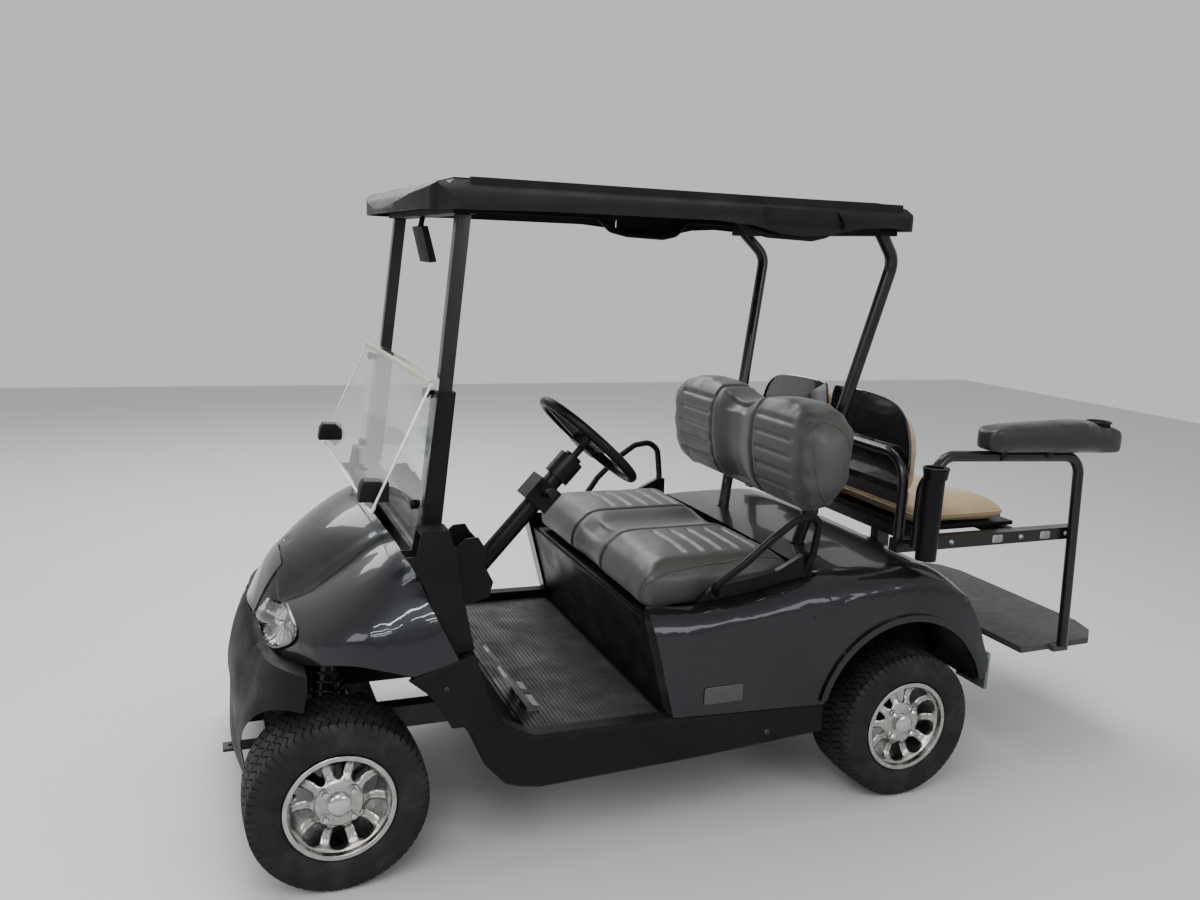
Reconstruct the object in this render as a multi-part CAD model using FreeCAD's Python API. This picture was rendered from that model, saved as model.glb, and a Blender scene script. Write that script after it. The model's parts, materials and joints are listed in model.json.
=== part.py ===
import FreeCAD, Part
import math
import os
from FreeCAD import Vector as V

os.makedirs("parts", exist_ok=True)

# A four-seat electric golf cart. All sizes are in millimetres.
# X points forward, Y to the driver's side, Z up, and the floor is Z 0.
# The shapes are drawn with X 0 at the rear axle and moved to the middle on saving.
# Outlines of the front end are given from the front axle, and at() brings them to X.

# Wheels and stance
WHEELBASE = 1684.0
TYRE_RADIUS = 229.5
TYRE_WIDTH = 205.0
BEAD_RADIUS = 127.0
FLANGE_RADIUS = 140.0
FLANGE_T = 6.0
FLANGE_Y = 94.0
REAR_WHEEL_Y = 505.0
FRONT_WHEEL_Y = 468.0
AXLE_Z = TYRE_RADIUS
STUB_RADIUS = 15.0
STUB_REACH = 55.0
RUN_FIT = 0.05
SEAT_GAP = 0.3

# Rims
SPOKES = 10
HUB_RADIUS = 46.0
HUB_DEPTH = 34.0
BARREL_WALL = 6.0
SPOKE_ROOT_W = 20.0
SPOKE_TIP_W = 34.0
SPOKE_DEPTH = 16.0
SPOKE_RAKE = 24.0
SPOKE_BEVEL = 3.0
RIM_FACE_Y = 72.0
CAP_RADIUS = 27.0
CAP_HEIGHT = 14.0

# Steering
KINGPIN_Y = 440.0
KINGPIN_RADIUS = 19.0
KNUCKLE_LOW = 176.0
KNUCKLE_HIGH = 296.0
ARM_BACK = 100.0
ARM_IN = 110.0
ARM_T = 12.0
TIE_ROD_RADIUS = 8.0
TIE_END_RADIUS = 12.0
RACK_RADIUS = 22.0
RACK_HALF = 200.0
RACK_Z = 190.0
STEER_ROOM = 274.0
COLUMN_ANGLE = 48.0
COLUMN_RADIUS = 26.0
COLUMN_LENGTH = 640.0
SHAFT_RADIUS = 10.0
SWITCH_ALONG = 200.0
WHEEL_BACK = 729.0
WHEEL_Y = 280.0
WHEEL_Z = 1088.0
WHEEL_RING = 163.0
WHEEL_GRIP = 14.0
WHEEL_SPOKE_W = 26.0

# Frame
RAIL_Y = 200.0
RAIL_W = 50.0
RAIL_H = 64.0
RAIL_NOSE = 156.0
RAIL_REAR = -262.0
KICKUP = 92.0
BEAM_W = 36.0
AXLE_TUBE = 34.0
DRUM_RADIUS = 84.0
GEARBOX_HALF = 60.0
MOTOR_X = 118.0
MOTOR_RADIUS = 78.0
MOTOR_LENGTH = 170.0
LOW_ARM_Z = 160.0
LOW_ARM_T = KNUCKLE_LOW - LOW_ARM_Z - SEAT_GAP
ARM_SPREAD = 74.0
ARM_PAD = 30.0
STRUT_Y = 312.0
STRUT_RADIUS = 17.0
COIL_RADIUS = 30.0
COIL_FOOT = 320.0
COIL_LENGTH = 220.0
TOWER_Z = 560.0
TOWER_T = 12.0
SPRING_HALF = 225.0
SPRING_Y = 262.0
SPRING_W = 50.0
SPRING_T = 12.0
HANGER_DROP = 14.0
TAB_NOSE = 261.0
TAB_Z = 158.0
TAB_HALF = 24.0
TAB_T = 8.0
TOW_RADIUS = 9.0

# Floor and sills
FLOOR_Z = 334.0
MAT_T = 5.0
PAN_T = 6.0
FLOOR_HALF = 540.0
SILL_BEVEL = 8.0

# Body
BODY_HALF = 590.0
BODY_T = 6.0
SILL_PROUD = 2.0
ARCH_X = 20.0
ARCH_Z = 278.0
ARCH_R = 289.0
ARCH_LIP = 20.0
ARCH_PROUD = 9.0
LINER_T = 4.0
LINER_DEPTH = 225.0
LINER_LOW = 341.0
POD_OPEN_HALF = 524.0
POD_OPEN_REAR = 318.0
POD_FRONT = 842.0
SEAT_FLOOR = 612.0
DECK_Z = 722.0

# Front seat
SEAT_SIDE_GAP = 36.0
CUSHION_HALF = POD_OPEN_HALF - SEAT_SIDE_GAP
CUSHION_TOP = 775.0
HINGE_X = 338.0
HINGE_Z = 700.0
HINGE_PIN = 5.0
HINGE_Y = 300.0
EAR_T = 6.0
EAR_GAP = 10.0
LID_BOARD = 12.0
LUG_RADIUS = 10.0
LOOP_T = 18.0
LOOP_Y = CUSHION_HALF + 12.0 + LOOP_T / 2
LOOP_BOW = 60.0
LOOP_R = 11.0
BACK_HALF = 497.0

# Canopy and posts
ROOF_HALF = 522.0
ROOF_T = 6.0
ROOF_TOP = 1778.0
ROOF_CORNER = 70.0
ROOF_BOW = 1494.0
ROOF_SIDE_BACK = 36.0
RIB_Z = 1726.0
PAD_DEPTH = 14.0
POST_D = 36.0
COVER_WALL = 9.0
REAR_POST_R = 19.0
ROOF_SEAT = 1690.0
GLASS_T = 6.0
GLASS_HALF = 500.0

# Rear seat kit
KIT_RAIL = 40.0
KIT_RAIL_Y = 450.0
KIT_RAIL_Z = 762.0
KIT_REAR = -724.0
KIT_BEAM_W = 36.0
LEG_X = -134.0
LEG_Y = 205.0
HOOP_TOP = 1040.0
HOOP_R = 16.0
HOOP_BAR = 890.0
FLIP_X = -532.0
FLIP_BOARD_T = 14.0
FLIP_PIN = 6.0
FLIP_EYE = 12.0
FLIP_Z = KIT_RAIL_Z + KIT_RAIL / 2 + SEAT_GAP + 6.0
FLIP_HALF = 400.0
GRAB_R = 17.0
GRAB_Y = KIT_RAIL_Y + KIT_RAIL / 2 + GRAB_R + SEAT_GAP
GRAB_TOP = 1040.0
GRAB_LEAN = 8.0
CAN_RADIUS = 37.0
ARMREST_REAR = -824.0
ARMREST_FRONT = -266.0
CUP_RADIUS = 36.0
ARMREST_HALF = 50.0
ARMREST_T = 92.0
PLATE_Z = 372.0
PLATE_T = 22.0
PLATE_REAR = -960.0
PLATE_FRONT = -556.0
PLATE_HALF = 462.0

RAIL_TOP = FLOOR_Z - MAT_T - PAN_T
RAIL_LOW = RAIL_TOP - RAIL_H
RAIL_IN = RAIL_Y - RAIL_W / 2
RAIL_OUT = RAIL_Y + RAIL_W / 2
TAB_FRONT = WHEELBASE + TAB_NOSE
RAIL_FRONT = WHEELBASE + RAIL_NOSE
ORIGIN_X = (TAB_FRONT + PLATE_REAR) / 2.0
FAR = 2000.0


def save(name, *shapes):
    """Write one node, moved so that the origin is under the middle."""
    solids = []
    for shape in shapes:
        solids.extend(shape.Solids)
    body = solids[0] if len(solids) == 1 else Part.makeCompound(solids)
    body = body.copy()
    body.translate(V(-ORIGIN_X, 0, 0))
    body.exportStep("parts/%s.step" % name)


def at(points):
    """Bring outline points given from the front axle to X."""
    return [(WHEELBASE + point[0],) + tuple(point[1:]) for point in points]


def box(x0, x1, y0, y1, z0, z1):
    return Part.makeBox(x1 - x0, y1 - y0, z1 - z0, V(x0, y0, z0))


def rod(start, end, radius):
    run = end.sub(start)
    return Part.makeCylinder(radius, run.Length, start, run)


def fuse(first, *rest):
    whole = first.fuse(list(rest)) if rest else first
    return whole.removeSplitter()


def mirrored(shape):
    return shape.mirror(V(0, 0, 0), V(0, 1, 0))


def both(shape):
    return [shape, mirrored(shape)]


def largest(shape):
    return max(shape.Solids, key=lambda solid: solid.Volume)


def line(start, end):
    return Part.LineSegment(start, end).toShape()


def arc(start, mid, end):
    return Part.Arc(start, mid, end).toShape()


def xz_face(points, y):
    corners = [V(x, y, z) for x, z in points]
    return Part.Face(Part.makePolygon(corners + corners[:1]))


def xz_prism(points, y0, y1):
    """A side outline of (x, z) points, pulled from y0 to y1."""
    return xz_face(points, y0).extrude(V(0, y1 - y0, 0))


def xy_prism(points, z0, z1):
    corners = [V(x, y, z0) for x, y in points]
    face = Part.Face(Part.makePolygon(corners + corners[:1]))
    return face.extrude(V(0, 0, z1 - z0))


def yz_prism(points, x0, x1):
    corners = [V(x0, y, z) for y, z in points]
    face = Part.Face(Part.makePolygon(corners + corners[:1]))
    return face.extrude(V(x1 - x0, 0, 0))


def bevelled(points, y0, y1, bevel):
    """A side outline pulled from y0 to y1 with its edges at y1 bevelled."""
    step = bevel if y1 > y0 else -bevel
    body = xz_prism(points, y0, y1 - step)
    face = xz_face(points, y1 - step)
    tip = face.makeOffset2D(-bevel, join=2).OuterWire.copy()
    tip.translate(V(0, step, 0))
    return fuse(body, Part.makeLoft([face.OuterWire, tip], True, True))


def round_corners(half_x, half_y, radius, centre, z0, z1):
    """A block whose four upright edges are rounded."""
    block = box(centre.x - half_x, centre.x + half_x, centre.y - half_y, centre.y + half_y, z0, z1)
    upright = [e for e in block.Edges if abs(e.Vertexes[0].Z - e.Vertexes[-1].Z) > 1]
    return block.makeFillet(radius, upright)


def bent_path(points, radius):
    """Straight runs joined by tangent arcs."""
    edges = []
    here = points[0]
    for before, corner, after in zip(points, points[1:], points[2:]):
        back = before.sub(corner).normalize()
        ahead = after.sub(corner).normalize()
        half = back.getAngle(ahead) / 2.0
        reach = radius / math.tan(half)
        reach = min(reach, 0.48 * before.sub(corner).Length, 0.48 * after.sub(corner).Length)
        bend = reach * math.tan(half)
        enter = corner.add(V(back).multiply(reach))
        leave = corner.add(V(ahead).multiply(reach))
        inward = V(back).add(ahead).normalize()
        mid = corner.add(inward.multiply(bend / math.sin(half) - bend))
        if enter.sub(here).Length > 0.01:
            edges.append(line(here, enter))
        edges.append(arc(enter, mid, leave))
        here = leave
    edges.append(line(here, points[-1]))
    return Part.Wire(edges)


def tube(points, radius, bend):
    """A round bar along a bent path."""
    path = bent_path(points, bend)
    ring = Part.Wire(Part.makeCircle(radius, points[0], points[1].sub(points[0])))
    return path.makePipeShell([ring], True, False)


def slanted_post(top, foot, w, d):
    wires = []
    for p in (foot, top):
        corners = [V(p.x + a * d / 2, p.y + b * w / 2, p.z) for a, b in ((-1, -1), (1, -1), (1, 1), (-1, 1))]
        wires.append(Part.makePolygon(corners + corners[:1]))
    return Part.makeLoft(wires, True, True)


def at_height(top, foot, z):
    t = (z - foot.z) / (top.z - foot.z)
    return foot.add(top.sub(foot).multiply(t))


def skin_form(stations, inset, drop, smooth):
    """A body skin lofted along X: upright sides, an arc over each shoulder and an arc over the crown."""
    wires = []
    for x, proud, low, side_top, shoulder_y, shoulder_z, crown in stations:
        half = BODY_HALF + proud - inset
        shoulder = shoulder_y - inset * 0.6
        side_top, shoulder_z, crown = side_top - inset, shoulder_z - inset, crown - inset
        mid_y = half - (half - shoulder) * 0.38
        mid_z = side_top + (shoulder_z - side_top) * 0.68
        left = [V(x, half, low - drop), V(x, half, side_top), V(x, mid_y, mid_z), V(x, shoulder, shoulder_z)]
        right = [V(p.x, -p.y, p.z) for p in left]
        wires.append(Part.Wire([
            line(right[0], right[1]), arc(right[1], right[2], right[3]),
            arc(right[3], V(x, 0, crown), left[3]),
            arc(left[3], left[2], left[1]), line(left[1], left[0]), line(left[0], right[0]),
        ]))
    return Part.makeLoft(wires, True, not smooth)


def frame_rail():
    side = [(RAIL_FRONT, RAIL_LOW), (330, RAIL_LOW), (230, RAIL_LOW + KICKUP), (RAIL_REAR, RAIL_LOW + KICKUP),
            (RAIL_REAR, RAIL_TOP + KICKUP), (205, RAIL_TOP + KICKUP), (305, RAIL_TOP), (RAIL_FRONT, RAIL_TOP)]
    return xz_prism(side, RAIL_IN, RAIL_OUT)


def cross_members():
    """Beams between the rails, and outriggers from the rails to the sills."""
    beams = []
    places = ((RAIL_FRONT - RAIL_W, 0), (WHEELBASE - 154, 0), (WHEELBASE - 684, 0), (420, 0),
              (RAIL_REAR, KICKUP))
    for x, lift in places:
        beams.append(box(x, x + RAIL_W, -RAIL_IN, RAIL_IN, RAIL_LOW + lift, RAIL_TOP + lift))
    for x in (WHEELBASE - 564, 760, 400):
        beams += both(box(x, x + BEAM_W, RAIL_OUT, FLOOR_HALF - SEAT_GAP, RAIL_LOW + 24, RAIL_TOP))
    return beams


def tow_bar():
    """The front tab with its hole, on a drop plate under the first cross member."""
    tab = box(RAIL_FRONT - RAIL_W, TAB_FRONT, -TAB_HALF, TAB_HALF, TAB_Z - TAB_T / 2, TAB_Z + TAB_T / 2)
    hole = Part.makeCylinder(TOW_RADIUS, 2 * TAB_T, V(TAB_FRONT - TAB_HALF, 0, TAB_Z - TAB_T))
    drop = box(RAIL_FRONT - RAIL_W, RAIL_FRONT - RAIL_W + TAB_T, -TAB_HALF, TAB_HALF, TAB_Z, RAIL_LOW)
    return fuse(tab.cut(hole), drop)


def frame_brackets():
    """Tow bar, strut towers, hangers of the arms, springs and rack, and the bumper's brackets."""
    parts = [tow_bar()]
    post_in = RAIL_OUT - TOWER_T
    shelf = box(WHEELBASE - ARM_PAD, WHEELBASE + ARM_PAD, post_in, STRUT_Y + STRUT_RADIUS,
                TOWER_Z, TOWER_Z + TOWER_T)
    post = box(WHEELBASE - ARM_PAD, WHEELBASE + ARM_PAD, post_in, RAIL_OUT, RAIL_TOP, TOWER_Z)
    parts += both(fuse(shelf, post))
    for x in (WHEELBASE - ARM_SPREAD, WHEELBASE + ARM_SPREAD - ARM_PAD):
        parts += both(box(x, x + ARM_PAD, RAIL_IN, RAIL_OUT, LOW_ARM_Z, RAIL_LOW))
    low = RAIL_LOW + KICKUP - HANGER_DROP
    for x in (-SPRING_HALF, SPRING_HALF - ARM_PAD):
        parts += both(box(x, x + ARM_PAD, RAIL_IN, SPRING_Y + SPRING_W / 2, low, RAIL_LOW + KICKUP))
    hollow = bumper_form(BODY_T + SEAT_GAP)
    for y in (-90, 60):
        bracket = box(RAIL_FRONT, TAB_FRONT, y, y + ARM_PAD, RAIL_LOW + 10, RAIL_TOP - 10).common(hollow)
        parts.append(bracket)
    rack_x = WHEELBASE - ARM_BACK
    hanger = box(rack_x - 8, rack_x + 8, RAIL_IN + 4, RACK_HALF, RACK_Z + RACK_RADIUS, RAIL_LOW)
    parts += both(hanger)
    return parts


def floor_pan():
    top = FLOOR_Z - MAT_T
    toe = at([(-494, top), (-324, 500), (-302, 640), (-296, 640), (-318, 496), (-491, top - PAN_T)])
    pan = xz_prism([(700, top)] + toe + [(700, top - PAN_T)], -FLOOR_HALF, FLOOR_HALF)
    return pan.cut(column_rod(COLUMN_RADIUS + SEAT_GAP, 500.0, 700.0))


def floor_mat():
    edge = FLOOR_HALF - PAN_T
    return box(790, WHEELBASE - 504, -edge, edge, FLOOR_Z - MAT_T, FLOOR_Z)


def sill():
    leg = at([(-494, 366), (-412, 407), (-371, 481), (-337, 593), (-329, 612), (-240, 591), (-171, 556),
              (-241, 511), (-320, 392), (-361, 303), (-416, 241), (-457, 226), (-513, 216)])
    side = [(300, 338), (806, 362)] + leg + [(699, 230), (300, 252)]
    return bevelled(side, FLOOR_HALF, BODY_HALF + SILL_PROUD, SILL_BEVEL).cut(cowl_form(-SEAT_GAP, SEAT_GAP))


# Cowl: x, how far the side stands past the body, lower edge, side top, shoulder y and z, crown z
COWL = at([
    (-304, 2, 560, 690, 330, 885, 955),
    (-234, 2, 556, 685, 333, 858, 932),
    (-144, 0, 578, 672, 328, 830, 905),
    (-44, -12, 600, 662, 302, 762, 858),
    (36, -82, 583, 640, 262, 700, 798),
    (90, -166, 558, 606, 214, 664, 752),
    (134, -250, 542, 574, 170, 622, 700),
    (186, -400, 520, 540, 110, 560, 596),
])
# The cowl's rear edge seen from the side
COWL_REAR = at([(-288, 599), (-231, 714), (-205, 786), (-173, 845), (-144, 881), (-122, 906)])
# The nose seen from above: x from the front axle and y, from the tip to the side
NOSE_TIP = 182.0
NOSE_EDGE = [(160, 190), (118, 330), (52, 470), (-20, 548), (-96, 586)]


def nose_plan(inset, z0, z1):
    half = BODY_HALF + SILL_PROUD - inset
    tip = V(WHEELBASE + NOSE_TIP - inset, 0, z0)
    left = [V(WHEELBASE + x - inset, y - inset, z0) for x, y in NOSE_EDGE]
    left += [V(WHEELBASE - 200, half, z0), V(WHEELBASE - 400, half, z0)]
    right = [V(p.x, -p.y, p.z) for p in left]
    edges = [
        arc(left[0], tip, right[0]), arc(right[0], right[1], right[2]), arc(right[2], right[3], right[4]),
        line(right[4], right[5]), line(right[5], right[6]), line(right[6], left[6]),
        line(left[6], left[5]), line(left[5], left[4]), arc(left[4], left[3], left[2]),
        arc(left[2], left[1], left[0]),
    ]
    return Part.Face(Part.Wire(edges)).extrude(V(0, 0, z1 - z0))


def cowl_form(inset, drop=0.0):
    return skin_form(COWL, inset, drop, True).common(nose_plan(inset, 400, 1000))


def behind_cowl(grow):
    """All that lies behind the cowl's slanted rear edge."""
    edge = [(x + grow, z) for x, z in COWL_REAR]
    foot, head = edge[0], edge[-1]
    outline = [(foot[0] - 200, 500), (foot[0] - 20, 500)] + edge
    outline += [(head[0] + 30, 1100), (foot[0] - 200, 1100)]
    return xz_prism(outline, -FAR / 2, FAR / 2)


def front_cowl():
    shell = cowl_form(0).cut(cowl_form(BODY_T, 60))
    shell = shell.cut(behind_cowl(0))
    pocket = lamp_region(SEAT_GAP)
    return largest(shell.cut(pocket.fuse(mirrored(pocket))))


# The headlamp's outline seen from the side, and how far from the middle it starts
LAMP = at([(176, 566), (166, 606), (136, 648), (92, 657), (82, 640), (98, 604), (130, 562), (168, 548)])
LAMP_INNER = 96.0


def lamp_region(grow):
    cx = sum(x for x, z in LAMP) / len(LAMP)
    cz = sum(z for x, z in LAMP) / len(LAMP)
    out = [(x + math.copysign(grow, x - cx), z + math.copysign(grow, z - cz)) for x, z in LAMP]
    return xz_prism(out, LAMP_INNER - grow, BODY_HALF)


def headlamp():
    skin = cowl_form(0).cut(cowl_form(28, 60))
    return largest(skin.common(lamp_region(0)))


# Bumper levels: z, nose x, turn x, side x, half width
BUMPER = [(z, WHEELBASE + nose, WHEELBASE + turn, WHEELBASE + side, half) for z, nose, turn, side, half in (
    (150, 214, 198, 110, 420), (300, 236, 222, 112, 490), (400, 237, 212, 104, 515),
    (470, 233, 190, 84, 524), (530, 216, 172, 68, 524), (604, 186, 150, 50, 510))]
TURN_Y = 290.0
# The bumper's top edge and the opening over each wheel
BUMPER_TOP = [(0, 598), (120, 592), (250, 560), (340, 556), (450, 562), (700, 566)]
BUMPER_BACK = at([(68, 640), (72, 526), (84, 470), (116, 440), (150, 406), (150, 100),
                  (-250, 100), (-250, 640)])


def bumper_form(inset):
    rows = []
    for z, nose, turn_x, side_x, half in BUMPER:
        half, nose, turn_x = half - inset, nose - inset, turn_x - inset
        left, right = V(side_x, half, z), V(side_x, -half, z)
        turn = V(turn_x, TURN_Y, z)
        bulge = V(side_x + (turn_x - side_x) * 0.56, TURN_Y + (half - TURN_Y) * 0.68, z)
        rows.append(Part.Wire([
            arc(left, bulge, turn), arc(turn, V(nose, 0, z), V(turn.x, -turn.y, z)),
            arc(V(turn.x, -turn.y, z), V(bulge.x, -bulge.y, z), right), line(right, left)]))
    body = Part.makeLoft(rows, True, False)
    top = [(y, z - inset) for y, z in BUMPER_TOP]
    outline = top + [(FAR, 0)] + [(-y, z) for y, z in reversed(top[1:] + [(FAR, 0)])]
    return body.common(yz_prism(outline, WHEELBASE, WHEELBASE + 400))


def front_bumper():
    """The bumper's shell, cut back round the steered wheels, the tow bar and the cowl."""
    shell = bumper_form(0).cut(bumper_form(BODY_T))
    shell = shell.cut(xz_prism(BUMPER_BACK, -FAR, FAR))
    room = Part.makeSphere(STEER_ROOM, V(WHEELBASE, KINGPIN_Y, AXLE_Z))
    shell = shell.cut(room.fuse(mirrored(room)))
    shell = shell.cut(box(WHEELBASE, TAB_FRONT + 50, -TAB_HALF - 6, TAB_HALF + 6, TAB_Z - 20, TAB_Z + 20))
    return largest(shell.cut(cowl_form(-SEAT_GAP, SEAT_GAP)))


TRIM_HALF = 105.0


def nose_trim():
    """A plate that lies on the middle of the nose, from the hood down to the bumper."""
    band = cowl_form(-PAN_T).cut(cowl_form(-SEAT_GAP))
    window = box(WHEELBASE + 96, TAB_FRONT, -TRIM_HALF, TRIM_HALF, 596 + PAN_T + SEAT_GAP, 800)
    return largest(band.common(window).cut(bumper_form(-SEAT_GAP)))


def column_rod(radius, start, end):
    """A cylinder along the steering column, by distance below the wheel's hub."""
    down = V(math.cos(math.radians(COLUMN_ANGLE)), 0, -math.sin(math.radians(COLUMN_ANGLE)))
    hub = V(WHEELBASE - WHEEL_BACK, WHEEL_Y, WHEEL_Z)
    return rod(hub.add(V(down).multiply(start)), hub.add(V(down).multiply(end)), radius)


# The dashboard's panel from the side, its cheek and the hollow in the cheek
DASH = at([(-302, 641), (-306, 740), (-300, 826), (-280, 868), (-184, 868), (-184, 862), (-276, 862),
           (-294, 824), (-300, 741), (-296, 641)])
CHEEK = at([(-332, 614), (-298, 770), (-284, 855), (-264, 930), (-196, 930), (-184, 868),
            (-100, 868), (-210, 600)])
CHEEK_IN = at([(-320, 616), (-290, 770), (-277, 855), (-258, 924), (-201, 924), (-100, 862),
               (-216, 600)])
CHEEK_LOW = at([(-360, 560), (-340, 613), (-329, 612.3), (-240, 592), (-160, 556)])
TRAY = at([(-404, 757), (-394, 718), (-350, 704), (-303, 704), (-296, 850), (-330, 878), (-362, 880),
           (-386, 842), (-382, 800)])
TRAY_IN = at([(-398, 757), (-389, 723), (-348, 710), (-309, 710), (-303, 900), (-366, 900), (-380, 842),
              (-376, 800)])
TRAY_Y = 404.0
TRAY_HALF = 72.0


def dashboard():
    """A moulded panel with cheeks that close the sides behind the cowl, and a tray at each end."""
    half = GLASS_HALF + 4
    cheek = xz_prism(CHEEK, half - 2, BODY_HALF - 18).cut(xz_prism(CHEEK_IN, half + 4, BODY_HALF - 24))
    cheek = cheek.common(behind_cowl(-SEAT_GAP)).cut(xz_prism(CHEEK_LOW, 400, 600))
    parts = both(largest(cheek))
    trays = []
    for y in (TRAY_Y, -TRAY_Y):
        trays.append(xz_prism(TRAY, y - TRAY_HALF, y + TRAY_HALF))
        hollow = xz_prism(TRAY_IN, y - TRAY_HALF + 5, y + TRAY_HALF - 5)
        trays[-1] = trays[-1].cut(hollow)
    panel = xz_prism(DASH, -half, half)
    joined = fuse(panel, *(parts + trays))
    post = slanted_post(FRONT_TOP, FRONT_FOOT, POST_D + 2 * SEAT_GAP, POST_D + 2 * SEAT_GAP)
    joined = joined.cut([column_rod(COLUMN_RADIUS + SEAT_GAP, 0.0, 700.0), post, mirrored(post)])
    toe = FLOOR_HALF + SEAT_GAP
    return joined.cut(box(WHEELBASE - 342, WHEELBASE - 295, -toe, toe, 560, 640 + SEAT_GAP))


def steering_column():
    """The jacket, its shaft into the wheel, and the switch housing with its lever."""
    jacket = column_rod(COLUMN_RADIUS, 60.0, COLUMN_LENGTH)
    shaft = column_rod(SHAFT_RADIUS, -8.0, 62.0)
    shroud = column_rod(COLUMN_RADIUS + 12, SWITCH_ALONG - 130, SWITCH_ALONG - 60)
    switch = box(-34, 40, -40, 40, -32, 46)
    lever = rod(V(0, 40, 10), V(-10, 96, 22), 8)
    knob = rod(V(-9, 88, 20), V(-14, 120, 26), 13)
    housing = fuse(switch, lever, knob)
    housing.rotate(V(0, 0, 0), V(0, 1, 0), COLUMN_ANGLE)
    down = V(math.cos(math.radians(COLUMN_ANGLE)), 0, -math.sin(math.radians(COLUMN_ANGLE)))
    housing.translate(V(WHEELBASE - WHEEL_BACK, WHEEL_Y, WHEEL_Z).add(V(down).multiply(SWITCH_ALONG)))
    return fuse(jacket, shaft, shroud, housing)


def steering_wheel():
    ring = Part.makeTorus(WHEEL_RING, WHEEL_GRIP)
    hub = Part.makeCone(44, 34, 44, V(0, 0, -30))
    parts = [hub]
    for angle in (90, 210, 330):
        spoke = xz_prism([(20, -22), (WHEEL_RING - 30, -8), (WHEEL_RING, -5), (WHEEL_RING, 6), (20, 6)],
                         -WHEEL_SPOKE_W / 2, WHEEL_SPOKE_W / 2)
        spoke.rotate(V(0, 0, 0), V(0, 0, 1), angle)
        parts.append(spoke)
    wheel = fuse(ring, *parts)
    wheel = wheel.cut(Part.makeCylinder(SHAFT_RADIUS + RUN_FIT, 40, V(0, 0, -32)))
    wheel.rotate(V(0, 0, 0), V(0, 1, 0), -(90 - COLUMN_ANGLE))
    wheel.translate(V(WHEELBASE - WHEEL_BACK, WHEEL_Y, WHEEL_Z))
    return wheel


def pedals():
    out = []
    base = FLOOR_Z + SEAT_GAP
    # pedals: y centre, half width, height
    for y, half, rise in ((240, 26, 140), (345, 38, 110)):
        lean = rise * 0.6
        side = at([(-572, base), (-538, base), (-534, base + 16), (-534 + lean, base + rise),
                   (-542 + lean, base + rise + 5), (-554, base + 18), (-572, base + 14)])
        out.append(xz_prism(side, y - half, y + half))
    return out


FRONT_TOP = V(WHEELBASE - 324, 413, ROOF_SEAT)
FRONT_FOOT = V(WHEELBASE - 221, 444, 700)
COVER_HIGH = 1252.0
COVER_LOW = 905.0


def front_post():
    return slanted_post(FRONT_TOP, FRONT_FOOT, POST_D, POST_D)


def post_cover():
    high = at_height(FRONT_TOP, FRONT_FOOT, COVER_HIGH)
    low = at_height(FRONT_TOP, FRONT_FOOT, COVER_LOW)
    outer = slanted_post(high, low, POST_D + 2 * COVER_WALL, POST_D + 2 * COVER_WALL)
    upright = sorted(outer.Edges, key=lambda edge: -edge.Length)[:4]
    return outer.makeFillet(COVER_WALL, upright).cut(front_post())


GLASS_TOP = (WHEELBASE - 250.0, 1286.0)
GLASS_FOOT = (WHEELBASE - 201.6, 868.0 + SEAT_GAP)
FOLD_FOOT = (WHEELBASE - 92.0, 962.0)


def windshield_lower():
    """The fixed half, with the hinge strip along its top."""
    x0, z0 = GLASS_FOOT
    x1, z1 = GLASS_TOP
    sheet = xz_prism([(x0, z0), (x1, z1), (x1 + GLASS_T, z1), (x0 + GLASS_T, z0)], -GLASS_HALF, GLASS_HALF)
    strip = box(x1, x1 + 20, -GLASS_HALF, GLASS_HALF, z1, z1 + 8)
    return fuse(sheet, strip)


def fold_sheet(half, grow):
    x0, z0 = FOLD_FOOT
    x1, z1 = GLASS_TOP[0] + 13, GLASS_TOP[1] - SEAT_GAP
    return xz_prism([(x0 - grow, z0), (x1 - grow, z1), (x1 + GLASS_T + grow, z1), (x0 + GLASS_T + grow, z0)],
                    -half, half)


def windshield_upper():
    """The folding half, which hangs forward over the cowl."""
    return fold_sheet(GLASS_HALF - 8, 0)


def windshield_clip():
    block = box(FOLD_FOOT[0] - 47, FOLD_FOOT[0] + 8, 405, 447, 978, 1030)
    return largest(block.cut(fold_sheet(GLASS_HALF, SEAT_GAP)))


REAR_TOP = V(114, 403, 1700)
REAR_BEND = V(41, 376, 1622)
REAR_FOOT = V(275, 202.5, RAIL_TOP + KICKUP - 9)


def rear_post_form(grow):
    return tube([REAR_TOP, REAR_BEND, REAR_FOOT], REAR_POST_R + grow, 70)


def rear_post():
    low = box(0, 600, -FAR / 2, FAR / 2, RAIL_LOW, RAIL_TOP + KICKUP + SEAT_GAP)
    high = box(0, 600, -FAR / 2, FAR / 2, ROOF_SEAT, ROOF_TOP)
    return rear_post_form(0).cut(low.fuse(high))


# Roof seen from the side: lower lip from front to rear, then the rear end and the top
ROOF_FRONT = [(1494, 1697), (1391, 1697), (1168, 1703), (700, 1705)]
ROOF_DIP = [(600, 1697), (520, 1679), (440, 1674), (360, 1681), (270, 1702), (175, 1709), (62, 1703)]
ROOF_BACK = [(60, 1714), (96, 1764), (130, 1772), (190, ROOF_TOP)]
ROOF_VISOR = [(1400, 1768), (1414, 1757), (1424, 1764), (1440, 1762), (1476, 1735), (1494, 1708)]
PAD = [(574, 1700), (574, 1764), (350, 1764), (322, 1716), (322, 1700)]


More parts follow.
